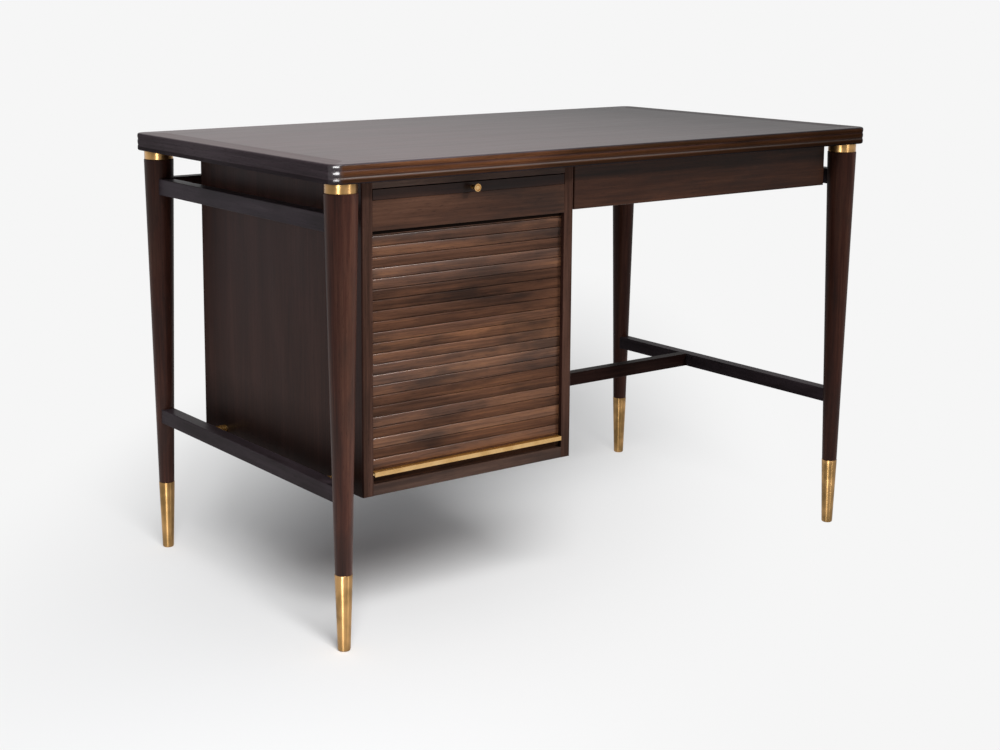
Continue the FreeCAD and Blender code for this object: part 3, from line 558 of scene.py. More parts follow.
def walnut(name, grain, tones, front=None, top=None, patches=0.45, far=0.5, shade=None, shaded_front=True,
           painted_line=None, shine=0.12, roughness=0.36, lacquer=0.10, bands=(), piece_tone=None):
    """Lacquered wood.

    `tones` are dark, middle and pale, and `front` and `top` replace them on faces that look that way,
    as a lipping or as painted light and shade. `patches` is the depth of the dark clouds, and `far`
    the strength left at the right end after the painted falloff of the light. `shade` is two heights
    and the strength from the second on, a painted shade or sheen, which faces that look forward may
    be spared. The argument after that gives a painted highlight: the height of a pale line, its half
    width and its tone. `shine` is the gloss of the wood and `lacquer` that of the coat. Each of
    `bands` is a height, a half width and a share of the gloss. `piece_tone` names the attribute that
    tells like pieces apart.
    """
    material, tree = new_material(name)
    where = add(tree, "ShaderNodeTexCoord").outputs["Object"]
    own_place, push = where, None
    if piece_tone:
        own = add(tree, "ShaderNodeAttribute", attribute_name=piece_tone).outputs["Fac"]
        shift = add(tree, "ShaderNodeVectorMath", {0: ELSEWHERE_IN_TREE, 3: own},
                    operation="SCALE").outputs[0]
        own_place = add(tree, "ShaderNodeVectorMath", {0: where, 1: shift}, operation="ADD").outputs[0]
        push = add(tree, "ShaderNodeMapRange", {
            "Value": own, "To Min": -PIECE_PUSH, "To Max": PIECE_PUSH}).outputs[0]
    pattern = wood_patterns(tree, where, own_place, grain)
    stain = stained(tree, pattern, tones, front, top, patches, push)
    # The pale line is a painted highlight. Then colour and gloss are scaled by the painted falloff of the
    # light and by any painted shade or sheen past a height.
    wood = edge_wear_and_painted_line(tree, where, stain, pattern["streak"], tones[-1], painted_line)
    strength = strength_over(tree, where, far, shade, shaded_front)
    wood = add(tree, "ShaderNodeVectorMath", {0: wood, 3: strength}, operation="SCALE").outputs[0]
    gleam = add(tree, "ShaderNodeMath", {0: strength, 1: shine}, operation="MULTIPLY").outputs[0]
    if piece_tone:
        gleam = add(tree, "ShaderNodeMath", {0: gleam, 1: own}, operation="MULTIPLY").outputs[0]
    coat = 0.0
    if lacquer:
        coat = add(tree, "ShaderNodeMath", {0: gleam, 1: lacquer / shine}, operation="MULTIPLY").outputs[0]
    lacquered(tree, where, wood, pattern, gleam, roughness, coat, bands)
    return material


# %% [markdown]
# ## The woods of the pedestal and the frame
# Boards differ, so each has tones of its own, written dark, middle, pale. Some of them also carry
# painted light and shade, and a comment says what each of them gives the eye.

# %% Woods of the pedestal and the frame
# Case: warm brown with soft streaks, and a broad dull sheen.
CASE = ("#2A1912", "#472D20", "#5F4030")
case_x, case_y = (walnut("Walnut case, grain " + a, a, CASE, roughness=0.42) for a in "XY")

# Rails above and below the shutter: the case's wood, lighter and greyer, a painted sheen of the pale floor.
PEDESTAL_RAILS_PAINTED_SHEEN = ("#2A1B15", "#47332A", "#604A3F")
rail_x = walnut("Walnut pedestal rails", "X", PEDESTAL_RAILS_PAINTED_SHEEN, roughness=0.42)

# Pedestal sides: even dark red-brown, almost without gloss, with a painted shade low down. Their
# front edges are paler lipping with livelier streaks, and keep their strength all the way down,
# free of the painted shade.
SIDES = ("#2B1A16", "#36211B", "#422A24")
LIPPING = ("#20140F", "#3C2820", "#563C32")
case_z = walnut("Walnut sides", "Z", SIDES, front=LIPPING, shine=0.05, lacquer=0.0, patches=0.2,
                shade=(0.35, 0.25, 0.4), shaded_front=False)

# Back: calm upright veneer.
back_panel = walnut("Walnut veneer, back panel", "Z", CASE, shine=0.08, patches=0.25)

# Legs: dark, with fine upright grain, and paler near the feet, a painted sheen of the pale floor.
LEGS = ("#21120F", "#391F18", "#4D3126")
leg_wood = walnut("Walnut legs", "Z", LEGS, shine=0.09, roughness=0.42, lacquer=0.04,
                  shade=(0.50, 0.20, 1.6))

# Drawer front and writing slide: level streaks, the slide nearly black.
DRAWER = ("#20120C", "#382015", "#4E3021")
SLIDE = ("#180D0A", "#291712", "#3A241B")
drawer_wood = walnut("Walnut drawer front", "X", DRAWER)
slide_wood = walnut("Walnut writing slide", "X", SLIDE)

# Rails between the legs: flat and dark; the side rails are cool grey all over, a painted reflection of the
# window.
RAILS = ("#140B0A", "#241513", "#382520")
SIDE_RAILS_PAINTED_REFLECTION = ("#2C2427", "#393034", "#463D41")
frame_x = walnut("Walnut rails, grain X", "X", RAILS, shine=0.02, lacquer=0.01)
frame_y = walnut("Walnut rails, grain Y", "Y", SIDE_RAILS_PAINTED_REFLECTION, shine=0.03, lacquer=0.0)

# Birch of the drawer box and runners: pale and matt, with faint streaks.
BIRCH = ("#6E4A30", "#8E6743", "#A67F58")
birch = walnut("Birch inside, grain Y", "Y", BIRCH, roughness=0.55, lacquer=0.0)
print("Made:", "; ".join(wood.name for wood in (case_x, case_y, rail_x, case_z, back_panel, leg_wood,
                                                drawer_wood, slide_wood, frame_x, frame_y, birch)))

# %% [markdown]
# ## The top and the slats
# The top is what hands and sleeves touch most. Its face is smooth veneer that mirrors the room at
# low angles. Its tones by the way a face looks are painted light and shade. The upward face is
# painted darker against the light from above, and the moulded front, turned to the lamp, is
# painted redder. The ends and corners, turned away from it, are painted a cool grey that also
# stands for a reflection of the window. The first crest of the moulding is polished bright and
# the hollows are dull. A pale line along the lowest reed of the long sides is a painted highlight,
# and under it a painted shade darkens the edge where it turns in. The slats are the liveliest
# wood of the desk.

# %% Woods of the top and the slats
table = cad_box[1].z
crest = (table - 0.8 * MM, 0.9 * MM, CORNER_GLOSS)
long_hollows = (table - 11 * MM, 6 * MM, 0.12)
end_hollows = (table - 15.7 * MM, 15 * MM, 0.12)
# A painted highlight along the lowest reed, and under it a painted shade where the edge turns in.
painted_reed_highlight = (table - 20.8 * MM, 1.3 * MM, "#5A4E48")
painted_shade_under_edge = (table - 22.2 * MM, table - 23.6 * MM, 0.5)

# Top: even, dark and smooth, with a sheen that grows as it is seen more flatly. Its tones by the
# way a face looks are painted light, shade and reflection, as said above.
TOP_FACE_PAINTED_DARK = ("#2F1C1D", "#372223", "#3E2829")
FRONT_EDGE_PAINTED_LIT = ("#35200F", "#54331F", "#704A2E")
END_EDGE_PAINTED_SHADE = ("#2C2427", "#3A3135", "#483F43")
top_x, top_y = (walnut("Walnut top, grain " + a, a, END_EDGE_PAINTED_SHADE, front=FRONT_EDGE_PAINTED_LIT, top=TOP_FACE_PAINTED_DARK, patches=0.2,
                       far=0.22, shade=painted_shade_under_edge, painted_line=painted_line, shine=0.056, roughness=0.33,
                       lacquer=0.03, bands=bands)
                for a, bands, painted_line in (("X", (crest, long_hollows), painted_reed_highlight),
                                       ("Y", (end_hollows,), None)))

# Slats: striped and clouded, each in a tone of its own and glossy on its crest. Where the topmost
# runs into the slot under the rail above, a painted shadow makes it nearly black.
SLATS_WOOD = ("#33221A", "#56392A", "#7A5238")
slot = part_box("fascia")[0].z
slat_wood = walnut("Walnut slats", "X", SLATS_WOOD, patches=0.65, shine=0.22, roughness=0.26,
                   shade=(slot - 6.6 * MM, slot - 5.6 * MM, 0.08), piece_tone="slat_tone")
print("The crest of the top's moulding is", round(crest[0] / MM, 1), "mm above the floor")

# %% [markdown]
# ## Polished metal
# Brass is turned or drawn and polished, then dulled by years of hands and air, so it has soft
# warm clouds a few centimetres across under a thin skin of tarnish. The lathe leaves fine rings,
# which spread each highlight into an upright streak. Modelled rings would be far too small to
# see, so anisotropy does that. The surface is very slightly wavy, so reflections wander. Real
# polishing marks are finer than a tenth of a millimetre, and they are drawn 0.8 mm wide to show.

# %% Polished metal
CLOUD_SIZE, WAVE_SIZE, MARK_WIDTH, MARK_LENGTH = 32, 14, 0.8, 60
# The share of the metal's tint that is left at the right end after the painted falloff of the light.
METAL_PAINTED_FALLOFF = 0.9


def metal(name, bright, dull, roughness, waves=0.2, turned_marks=0.0, film=0.0, film_tone="#A8742C"):
    """Polished metal.

    `turned_marks` spreads its highlights upright, as the fine rings of a lathe do. `film` is how much a
    dull skin of tarnish covers the metal, and `waves` the height of its waves in mm.
    """
    material, tree = new_material(name)
    where = add(tree, "ShaderNodeTexCoord").outputs["Object"]
    cloud = add(tree, "ShaderNodeTexNoise", {
        "Vector": where, "Scale": 1 / (CLOUD_SIZE * MM), "Detail": 2.0}).outputs["Fac"]
    wave = add(tree, "ShaderNodeTexNoise", {
        "Vector": where, "Scale": 1 / (WAVE_SIZE * MM), "Detail": 1.0}).outputs["Fac"]
    marks = drawn_out(tree, where, "Z", MARK_WIDTH, MARK_LENGTH, detail=3.0)
    tint = add(tree, "ShaderNodeValToRGB", {"Fac": cloud}, stops=[(0.36, dull), (0.64, bright)]).outputs[0]
    # Painted shade: the tint darkens towards the right end of the desk by the painted falloff of the light.
    toned = add(tree, "ShaderNodeVectorMath", {0: tint, 3: painted_light_falloff(tree, where, METAL_PAINTED_FALLOFF)},
                operation="SCALE").outputs[0]
    rough = add(tree, "ShaderNodeMapRange", {
        "Value": cloud, "To Min": roughness + 0.08, "To Max": roughness - 0.04}).outputs[0]
    soft = add(tree, "ShaderNodeBevel", {"Radius": 0.4 * MM}, samples=4).outputs[0]
    wavy = add(tree, "ShaderNodeBump", {
        "Strength": 0.6, "Distance": waves * MM, "Height": wave, "Normal": soft}).outputs[0]
    fine = add(tree, "ShaderNodeBump", {
        "Strength": 0.15, "Distance": 0.02 * MM, "Height": marks, "Normal": wavy}).outputs[0]
    normal = add(tree, "ShaderNodeNewGeometry").outputs["Normal"]
    around = add(tree, "ShaderNodeVectorMath", {0: (0.0, 0.0, 1.0), 1: normal},
                 operation="CROSS_PRODUCT").outputs[0]
    surface = add(tree, "ShaderNodeBsdfPrincipled", {
        "Base Color": toned, "Metallic": 1.0, "Roughness": rough, "Normal": fine, "Tangent": around,
        "Anisotropic": turned_marks, "Anisotropic Rotation": 0.25})
    if film:
        skin = add(tree, "ShaderNodeBsdfDiffuse", {"Color": colour(film_tone), "Normal": fine})
        cover = add(tree, "ShaderNodeMath", {0: cloud, 1: 2 * film}, operation="MULTIPLY").outputs[0]
        surface = add(tree, "ShaderNodeMixShader", {0: cover, 1: surface.outputs[0],
                                                    2: skin.outputs[0]})
    add(tree, "ShaderNodeOutputMaterial", {"Surface": surface.outputs[0]})
    return material


# %% [markdown]
# ## The desk's metals
# The pull bar, the knob and the spacers are of drawn brass, and collars and ferrules of brass
# turned on a lathe. They could share one finish, but the turned ones catch the light in a line
# and have darkened more. Screws and studs are plain bright steel.

# %% The desk's metals
# Drawn brass of the pull bar, knob and spacers: pale gold with a dull, cloudy skin.
brass = metal("Brass, drawn and aged", "#E6C592", "#CFA871", 0.24, waves=0.03, film=0.22)
# Turned brass of collars and ferrules: deeper gold, with one bright upright streak on each.
turned_brass = metal("Brass, turned and aged", "#B9925F", "#856941", 0.36, turned_marks=0.85,
                     film=0.06, film_tone="#B07A52")
# Bright steel of screws and studs: cool grey, a little uneven.
steel = metal("Steel, bright, unplated", "#B9B8B4", "#8C8B88", 0.35)
print("Made:", "; ".join(finish.name for finish in (brass, turned_brass, steel)))

# %% [markdown]
# ## Cotton canvas
# The canvas is an undyed plain weave: to the eye a matt, faintly fuzzy beige. Woven threads could
# be modelled one by one, but they hide behind the slats, so a texture is enough. Two waves of
# bands, one across the other, stand for warp and weft, and the higher of the two is the thread on
# top. Real threads are under a millimetre apart. They are drawn 6.3 mm apart, so that they show.

# %% Cotton canvas
# A wave texture with a scale of 1 has 20 / tau waves in each unit.
THREAD_SPACING = math.tau * MM
THREADS = math.tau / (20 * THREAD_SPACING)

canvas, tree = new_material("Cotton canvas")
where = add(tree, "ShaderNodeTexCoord").outputs["Object"]
warp = add(tree, "ShaderNodeTexWave", {"Vector": where, "Scale": THREADS, "Distortion": 0.6},
           bands_direction="X").outputs["Fac"]
weft = add(tree, "ShaderNodeTexWave", {"Vector": where, "Scale": THREADS, "Distortion": 0.6},
           bands_direction="Z").outputs["Fac"]
woven = add(tree, "ShaderNodeMath", {0: warp, 1: weft}, operation="MAXIMUM").outputs[0]
tint = add(tree, "ShaderNodeValToRGB", {"Fac": woven},
           stops=[(0.3, "#655842"), (0.9, "#8D7C60")]).outputs[0]
threads = add(tree, "ShaderNodeBump", {"Strength": 0.6, "Distance": 0.2 * MM, "Height": woven}).outputs[0]
surface = add(tree, "ShaderNodeBsdfPrincipled", {
    "Base Color": tint, "Roughness": 0.9, "Normal": threads, "Sheen Weight": 0.2})
add(tree, "ShaderNodeOutputMaterial", {"Surface": surface.outputs[0]})
print("Made:", canvas.name)

# %% [markdown]
# ## Dressing the nodes that stay
# Each node of the frame keeps its shape here and only takes a finish, with the grain running
# the way that board was cut. Most follow from the slot that the node came with, and the boards
# that differ from their neighbours are named one by one.

# %% Finishes for the nodes
by_slot = {"brass": brass, "steel": steel, "canvas": canvas, "interior_wood": birch,
           "slat_wood": slat_wood, "dark_wood": case_x, "top_wood": top_x}
by_name = {
    "edge_left": top_y, "edge_right": top_y,
    "rail_upper_left": frame_y, "rail_upper_right": frame_y, "rail_upper_back": frame_x,
    "rail_lower_left": frame_y, "rail_lower_right": frame_y, "stretcher": frame_x,
    "pedestal_side_left": case_z, "pedestal_side_right": case_z,
    "pedestal_top_rail": rail_x, "pedestal_bottom_rail": rail_x,
    "housing_side": case_y, "drawer_front": drawer_wood, "slide_lipping": slide_wood,
    "pedestal_back": back_panel,
}
finish_of, slot_of = {}, {}
for name, node in nodes.items():
    slot_of[name] = node.material_slots[0].material.name
    finish_of[name] = by_name.get(name, by_slot[slot_of[name]])
    for place in node.material_slots:
        place.material = finish_of[name]
slot_of["pedestal_back"] = slot_of["pedestal_side_left"]
print(len(finish_of), "nodes have taken", len({finish.name for finish in finish_of.values()}), "finishes")

# %% [markdown]
# ## How a new piece takes a node's place
# A new piece stands for one or more nodes of the frame. It moves with the same body, it takes
# the same finish, and the old node is hidden. Each piece is a plain mesh with its place in its
# points, so its modifiers are worked out and dropped first.

# %% Putting a piece in a node's place
def new_piece(name, mesh):
    piece = bpy.data.objects.new(name, mesh)
    bpy.context.scene.collection.objects.link(piece)
    return piece


def plain_mesh(piece):
    """The piece with its modifiers worked out and gone."""
    view = bpy.context.evaluated_depsgraph_get()
    shape = bpy.data.meshes.new_from_object(piece.evaluated_get(view))
    shape.name = piece.name
    piece.modifiers.clear()
    piece.data = shape
    return piece


def stands_for(piece, *replaced, finish=None):
    """Puts a piece in the place of the nodes it replaces, with the first one's body, slot and finish."""
    first = replaced[0]
    piece.data.materials.clear()
    piece.data.materials.append(finish or finish_of[first])
    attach(piece, body_of(nodes[first])[0])
    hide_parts(*replaced)
    print(piece.name, "stands for", ", ".join(replaced), "with", len(piece.data.polygons), "faces")
    return piece


# %% [markdown]
# ## Boards with softened edges
# No cabinetmaker leaves a sharp edge: each board is eased with a twist of fine paper. The shapes
# could be modelled anew, but the boards are right as they are. So they are copied from the frame,
# their loose triangles are joined up, and the Bevel modifier rounds the edges by less than a
# millimetre.

# %% Eased boards
EASING = 0.6 * MM
SAME_POINT = 0.01 * MM
FLAT, SHARP = math.radians(1), math.radians(40)


def eased_copy(name):
    shape = bmesh.new()
    shape.from_mesh(nodes[name].data)
    bmesh.ops.remove_doubles(shape, verts=shape.verts, dist=SAME_POINT)
    bmesh.ops.dissolve_limit(shape, angle_limit=FLAT, verts=shape.verts, edges=shape.edges)
    mesh = bpy.data.meshes.new(name + "_eased")
    shape.to_mesh(mesh)
    shape.free()
    piece = new_piece(name + "_eased", mesh)
    bevel = piece.modifiers.new("easing", "BEVEL")
    bevel.width = EASING
    bevel.segments = 2
    bevel.limit_method = "ANGLE"
    bevel.angle_limit = SHARP
    return stands_for(plain_mesh(piece), name)


for name in ("fascia", "pedestal_top_rail", "pedestal_bottom_rail", "pedestal_bottom",
             "pedestal_back", "shelf", "dust_panel", "slide_board", "slide_lipping", "handle_bar",
             "slide_runner_left", "slide_runner_right", "drawer_back", "drawer_bottom",
             "drawer_runner_left", "drawer_runner_right"):
    eased_copy(name)

# %% [markdown]
# ## A geometry tree with named inputs
# What repeats is made by geometry nodes. Copies made one by one would do, but a tree keeps the
# rule in one place. It gets one named input for each size, and the modifier is given those sizes
# by their names, so the tree can be read without its numbers.

# %% Making a geometry tree
def geometry_tree(name, sizes, takes_mesh=False):
    """A new tree and its inputs. `sizes` names each input and its kind."""
    tree = bpy.data.node_groups.new(name, "GeometryNodeTree")
    if takes_mesh:
        tree.interface.new_socket("Mesh", in_out="INPUT", socket_type="NodeSocketGeometry")
    for size, kind in sizes.items():
        tree.interface.new_socket(size, in_out="INPUT", socket_type="NodeSocket" + kind)
    tree.interface.new_socket("Mesh", in_out="OUTPUT", socket_type="NodeSocketGeometry")
    return tree, add(tree, "NodeGroupInput").outputs


def run_tree(piece, tree, values):
    """Gives the piece the shape that the tree makes from these values."""
    modifier = piece.modifiers.new(tree.name, "NODES")
    modifier.node_group = tree
    for item in tree.interface.items_tree:
        if item.in_out == "INPUT" and item.name in values:
            modifier[item.identifier] = values[item.name]
    return plain_mesh(piece)


# %% [markdown]
# ## The slats
# A tambour is a row of slats glued to canvas. Each slat is a rounded rectangle swept along the
# front, and a column of points carries one slat each. A seeded random number moves each slat in
# or out by a hair, and another is stored on it, so that the wood can give each slat a tone of
# its own.

# %% A tree for the slats
TONE_SEED = 4
tree, given = geometry_tree("slats", {"Width": "Float", "Thickness": "Float", "Height": "Float",
                                      "Rounding": "Float", "Pitch": "Float", "Count": "Int",
                                      "Start": "Vector", "Play": "Float", "Seed": "Int"})
outline = add(tree, "GeometryNodeCurvePrimitiveQuadrilateral", {
    "Width": given["Thickness"], "Height": given["Height"]})
rounded = add(tree, "GeometryNodeFilletCurve", {
    "Curve": outline.outputs[0], "Count": 3, "Radius": given["Rounding"], "Limit Radius": True},
              mode="POLY")
reach = add(tree, "ShaderNodeCombineXYZ", {"X": given["Width"]})
way = add(tree, "GeometryNodeCurvePrimitiveLine", {"End": reach.outputs[0]})
slat = add(tree, "GeometryNodeCurveToMesh", {
    "Curve": way.outputs[0], "Fill Caps": True, "Profile Curve": rounded.outputs[0]})
rise = add(tree, "ShaderNodeCombineXYZ", {"Z": given["Pitch"]})
column = add(tree, "GeometryNodeMeshLine", {
    "Count": given["Count"], "Start Location": given["Start"], "Offset": rise.outputs[0]})
row = add(tree, "GeometryNodeInstanceOnPoints", {
    "Points": column.outputs[0], "Instance": slat.outputs[0]})
play = add(tree, "FunctionNodeRandomValue", {2: 0.0, 3: given["Play"], "Seed": given["Seed"]})
push = add(tree, "ShaderNodeCombineXYZ", {"Y": play.outputs[1]})
shaken = add(tree, "GeometryNodeTranslateInstances", {
    "Instances": row.outputs[0], "Translation": push.outputs[0]})
tone = add(tree, "FunctionNodeRandomValue", {2: 0.0, 3: 1.0, "Seed": TONE_SEED})
toned = add(tree, "GeometryNodeStoreNamedAttribute", {
    "Geometry": shaken.outputs[0], "Name": "slat_tone", "Value": tone.outputs[1]},
            data_type="FLOAT", domain="INSTANCE")
real = add(tree, "GeometryNodeRealizeInstances", {"Geometry": toned.outputs[0]})
dressed = add(tree, "GeometryNodeSetMaterial", {"Geometry": real.outputs[0], "Material": slat_wood})
add(tree, "NodeGroupOutput", {"Mesh": dressed.outputs[0]})
print("The tree for the slats has", len(tree.nodes), "nodes")

# %% [markdown]
# ## Laying the slats
# The row has to fill the box of the plain slats. Those were drawn with gaps of 0.8 mm, and here
# the gaps are a little finer, as in a good shutter. Slats of wood are never quite in line, so
# each may stand back by up to 0.2 mm. That play is taken off the thickness, so that none of them
# stands out of the box.

# %% Laying the slats
SLATS, SLAT_SEED = 23, 7
PLAIN_GAP, GAP = 0.8 * MM, 0.6 * MM
PLAY, ROUNDING = 0.2 * MM, 1.2 * MM

low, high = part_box("tambour_slats")
pitch = (high.z - low.z + PLAIN_GAP) / SLATS
slats = run_tree(new_piece("slats", bpy.data.meshes.new("slats")), tree, {
    "Width": high.x - low.x, "Thickness": high.y - low.y - PLAY, "Height": pitch - GAP,
    "Rounding": ROUNDING, "Pitch": pitch, "Count": SLATS, "Play": PLAY, "Seed": SLAT_SEED,
    "Start": (low.x, (low.y + high.y) / 2 - PLAY / 2, low.z + (pitch - GAP) / 2)})
stands_for(slats, "tambour_slats")
print("The slats are", round(pitch / MM, 2), "mm apart")

# %% [markdown]
# ## The canvas
# The canvas behind the slats is what makes them one shutter. It is a flat woven sheet, glued on
# under tension. A cloth simulation has nothing to do where nothing can sag, so it is simply a
# thin stretched sheet here: one face, which Solidify gives its thickness.

# %% The canvas
CLOTH = 0.8 * MM
low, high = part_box("tambour_canvas")
middle_y = (low.y + high.y) / 2
mesh = bpy.data.meshes.new("canvas_backing")
mesh.from_pydata([(low.x, middle_y, low.z), (high.x, middle_y, low.z), (high.x, middle_y, high.z),
                  (low.x, middle_y, high.z)], [], [(0, 1, 2, 3)])
cloth = new_piece("canvas_backing", mesh)
thickness = cloth.modifiers.new("thickness", "SOLIDIFY")
thickness.thickness = CLOTH
thickness.offset = 0.0
stands_for(plain_mesh(cloth), "tambour_canvas")

# %% [markdown]
# ## The shutter's own meshes
# The real shutter turns round a bend behind the front and lies flat under the slide. A joint for
# each slat could follow that bend, at the price of two dozen joints. Here the slats and the canvas
# are only given meshes of their own.

# %% Own meshes for the shutter
for piece in (slats, cloth):
    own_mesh(piece)

# %% [markdown]
# ## Turned pieces
# Legs, collars and ferrules come off a lathe. A profile, given as radius and height, is turned
# about the upright axis into a closed mesh. The Screw modifier could do that too, but it leaves
# the ends open. Here rings of points are joined up, and one face closes each end.

# %% Turning a profile
AROUND, CORNER_STEPS = 64, 4
CREASE = math.radians(50)


def turned(name, profile, around=AROUND):
    """A closed mesh turned about Z from (radius, height) pairs in mm, from the bottom up."""
    shape = bmesh.new()
    rings = []
    for radius, height in profile:
        rings.append([shape.verts.new((radius * MM * math.cos(math.tau * n / around),
                                       radius * MM * math.sin(math.tau * n / around), height * MM))
                      for n in range(around)])
    for below, above in zip(rings, rings[1:]):
        for n in range(around):
            m = (n + 1) % around
            shape.faces.new((below[n], below[m], above[m], above[n]))
    shape.faces.new(list(reversed(rings[0])))
    shape.faces.new(rings[-1])
    bmesh.ops.recalc_face_normals(shape, faces=shape.faces)
    mesh = bpy.data.meshes.new(name)
    shape.to_mesh(mesh)
    shape.free()
    for face in mesh.polygons:
        face.use_smooth = True
    mesh.set_sharp_from_angle(angle=CREASE)
    return mesh


def rounded_corner(radius, height, size, up=1):
    """The points of a rounded corner from the side face to the end face, or back for up=-1."""
    turns = [math.pi / 2 * n / CORNER_STEPS for n in range(CORNER_STEPS + 1)]
    points = [(radius - size * (1 - math.cos(t)), height - up * size * (1 - math.sin(t))) for t in turns]
    return points if up > 0 else list(reversed(points))


# %% [markdown]
# ## One of each at every corner
# All four legs are turned to one pattern. So one leg, one collar and one ferrule are made at the
# middle of the desk, and a tree puts a copy on each of the four corners of a two by two grid.

# %% Copies at the four corners
foot_low, foot_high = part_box("ferrule_fl")
leg_place = (foot_low + foot_high) / 2
four_corners, given = geometry_tree("four corners", {"Spread X": "Float", "Spread Y": "Float"},
                                    takes_mesh=True)
corners = add(four_corners, "GeometryNodeMeshGrid", {
    "Size X": given["Spread X"], "Vertices X": 2, "Size Y": given["Spread Y"], "Vertices Y": 2})
copies = add(four_corners, "GeometryNodeInstanceOnPoints", {
    "Points": corners.outputs[0], "Instance": given["Mesh"]})
real = add(four_corners, "GeometryNodeRealizeInstances", {"Geometry": copies.outputs[0]})
add(four_corners, "NodeGroupOutput", {"Mesh": real.outputs[0]})


def at_each_leg(name, profile, kind, finish):
    """One turned shape, copied to the four legs in place of four nodes whose names start with `kind`."""
    piece = new_piece(name, turned(name, profile))
    piece.data.materials.append(finish)
    run_tree(piece, four_corners, {"Spread X": -2 * leg_place.x, "Spread Y": -2 * leg_place.y})
    return stands_for(piece, *[kind + corner for corner in ("fl", "fr", "bl", "br")], finish=finish)


def radius_of(name):
    """The radius in mm of an upright turned node."""
    left, right = (corner.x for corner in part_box(name))
    return (right - left) / 2 / MM


# %% [markdown]
# ## Legs, collars and ferrules
# Each leg tapers down to a spigot that sits in its ferrule, a brass cup that ends in a rounded
# foot. A brass ring joins the leg to the top. Every rim is rounded by about a millimetre, as a
# turner breaks an edge with the tool.

# %% Legs, collars and ferrules
LEG_TOP, FERRULE_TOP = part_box("collar_fl")[0].z / MM, foot_high.z / MM
FOOT_RADIUS, LEG_FOOT_RADIUS = 10.0, 13.5
SPIGOT_RADIUS, SPIGOT_LENGTH, SEAM = 10.0, 6.0, 0.3
COLLAR_HEIGHT, CUP_WALL, CUP_DISH = 15.0, 1.0, 0.5

spigot = [(SPIGOT_RADIUS, FERRULE_TOP - SPIGOT_LENGTH), (SPIGOT_RADIUS, FERRULE_TOP - SEAM)]
taper = (rounded_corner(LEG_FOOT_RADIUS, FERRULE_TOP - SEAM, 0.5, up=-1)
         + rounded_corner(radius_of("leg_fl"), LEG_TOP, 1.2))
legs = at_each_leg("legs", spigot + taper, "leg_", leg_wood)

ring = (rounded_corner(radius_of("collar_fl"), LEG_TOP, 0.9, up=-1)
        + rounded_corner(radius_of("collar_fl"), LEG_TOP + COLLAR_HEIGHT, 0.9))
collars = at_each_leg("collars", ring, "collar_", turned_brass)

cup = (rounded_corner(FOOT_RADIUS, 0.0, 3.0, up=-1)
       + rounded_corner(radius_of("ferrule_fl"), FERRULE_TOP, 0.6)
       + [(LEG_FOOT_RADIUS - CUP_WALL, FERRULE_TOP - CUP_DISH)])
ferrules = at_each_leg("ferrules", cup, "ferrule_", turned_brass)

# %% [markdown]
# ## The knob of the writing slide
# A small turned brass knob: a neck, a head that flares like a trumpet, a rounded rim, a groove
# and a low boss. It is turned upright, then laid over so that its face looks forward. A power of
# the share gives the flare its slow start and quick end, and half a sine wave gives the groove.

# %% The knob
low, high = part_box("knob")
face, head = (high.y - low.y) / MM, (high.x - low.x) / 2 / MM
NECK, FLARE_START, FLARE_LENGTH, FLARE_POWER = 3.25, 6.0, 7.6, 1.6
GROOVE_EDGE, GROOVE_WIDTH, GROOVE_DEPTH, FACE_SINK = 1.4, 1.6, 1.3, 0.1
BOSS_SINK, BOSS_RISE = 0.4, 0.35
boss_radius = head - GROOVE_EDGE - GROOVE_WIDTH

flare = [(NECK + (head - NECK) * share ** FLARE_POWER, FLARE_START + FLARE_LENGTH * share)
         for share in [n / 8 for n in range(9)]]
rim = [(head - inset, face - drop)
       for inset, drop in ((0.0, 1.0), (0.15, 0.45), (0.5, 0.1), (0.9, 0.0), (GROOVE_EDGE, FACE_SINK))]
groove = [(head - GROOVE_EDGE - GROOVE_WIDTH * share,
           face - FACE_SINK - GROOVE_DEPTH * math.sin(math.pi * share) - (BOSS_SINK - FACE_SINK) * share)
          for share in [n / 6 for n in range(1, 7)]]
boss = [(boss_radius * math.cos(turn), face - BOSS_SINK + BOSS_RISE * math.sin(turn))
        for turn in [math.radians(degrees) for degrees in (20, 45, 70, 84)]]
mesh = turned("knob_turned", [(NECK, 0.0)] + flare + rim + groove + boss, around=48)
mesh.transform(Matrix.Translation(((low.x + high.x) / 2, high.y, (low.z + high.z) / 2))
               @ Matrix.Rotation(math.pi / 2, 4, "X"))
stands_for(new_piece("knob_turned", mesh), "knob")

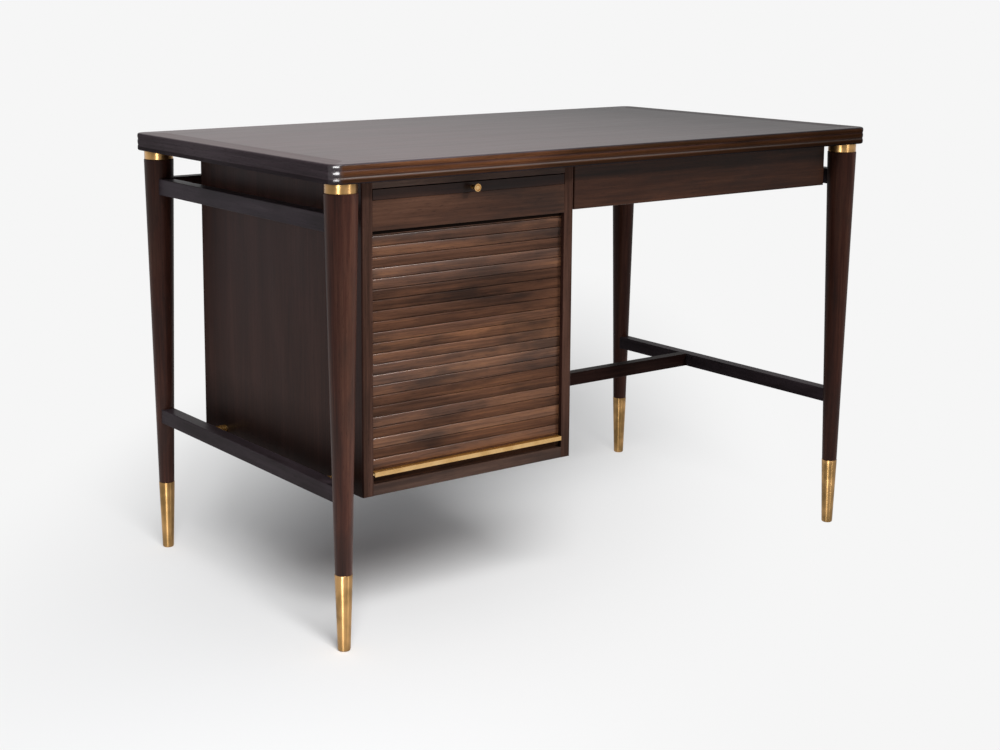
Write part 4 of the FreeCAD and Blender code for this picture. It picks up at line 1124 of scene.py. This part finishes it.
# %% [markdown]
# ## Glints on mouldings and brass
# Polished edges and turned brass come alive through small bright reflections. One bright lamp
# could give them all, but it would bleach the flat boards. So five more boxes give the glints and
# nothing else: they shine on chosen pieces only, and add no scattered light. One at the left
# makes the dots on the reeds of the near corner. Two at the right draw the thin lines on the
# reeds and along the slats, which fade with distance. The last two put upright streaks on each
# collar and ferrule, and one of them reaches the spacers as well. The window is kept off the top
# and the legs, where its broad reflection would hide their dark stain.

# %% Glints
NEAR_CORNER, NEAR_COLLAR = (-0.56, -0.31, 0.74), (-0.54, -0.30, 0.7)
SHUTTER = (-0.48, -0.29, 0.45)

corner_glint = soft_box("corner glint", (-0.70, -0.71, 0.13), 2.4, (2.4, 0.9), 300.0, aim=NEAR_CORNER)
line_glint = soft_box("line glint", (0.46, -0.76, 0.45), 2.4, (0.45, 0.35), 34.0, aim=NEAR_CORNER)
brass_glint = soft_box("brass glint", (-0.76, -0.64, 0.0), 2.4, (0.6, 1.8), 100.0, aim=NEAR_COLLAR)
slat_glint = soft_box("slat glint", (0.47, -0.82, 0.40), 2.4, (0.3, 0.3), 130.0, aim=SHUTTER)
brass_line = soft_box("brass line", (0.46, -0.83, 0.0), 2.2, (0.4, 1.4), 12.0, aim=NEAR_COLLAR)
for glint in (corner_glint, line_glint, slat_glint, brass_glint, brass_line):
    glint.visible_diffuse = False

edges = [piece for name, piece in nodes.items() if name.startswith("edge_")]
whole_top = edges + [nodes["top_panel"]]
shines_on(corner_glint, whole_top)
shines_on(line_glint, whole_top)
shines_on(window, whole_top + [legs], "EXCLUDE")
shines_on(slat_glint, [slats])
shines_on(brass_glint, [collars, ferrules, nodes["spacers"]])
shines_on(brass_line, [collars, ferrules])
print("Glints fall on", len(edges), "edge pieces, the slats and the brass")

# %% [markdown]
# ## The finished model's size
# The dressed desk has to stay inside the box of the imported one, so the growth of its box is printed.

# %% Print how much the model grew
final_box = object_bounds()
growth = [round((b - a) / MM, 2) for a, b in zip(cad_box[1], final_box[1])]
print("The model grew by", growth, "mm")
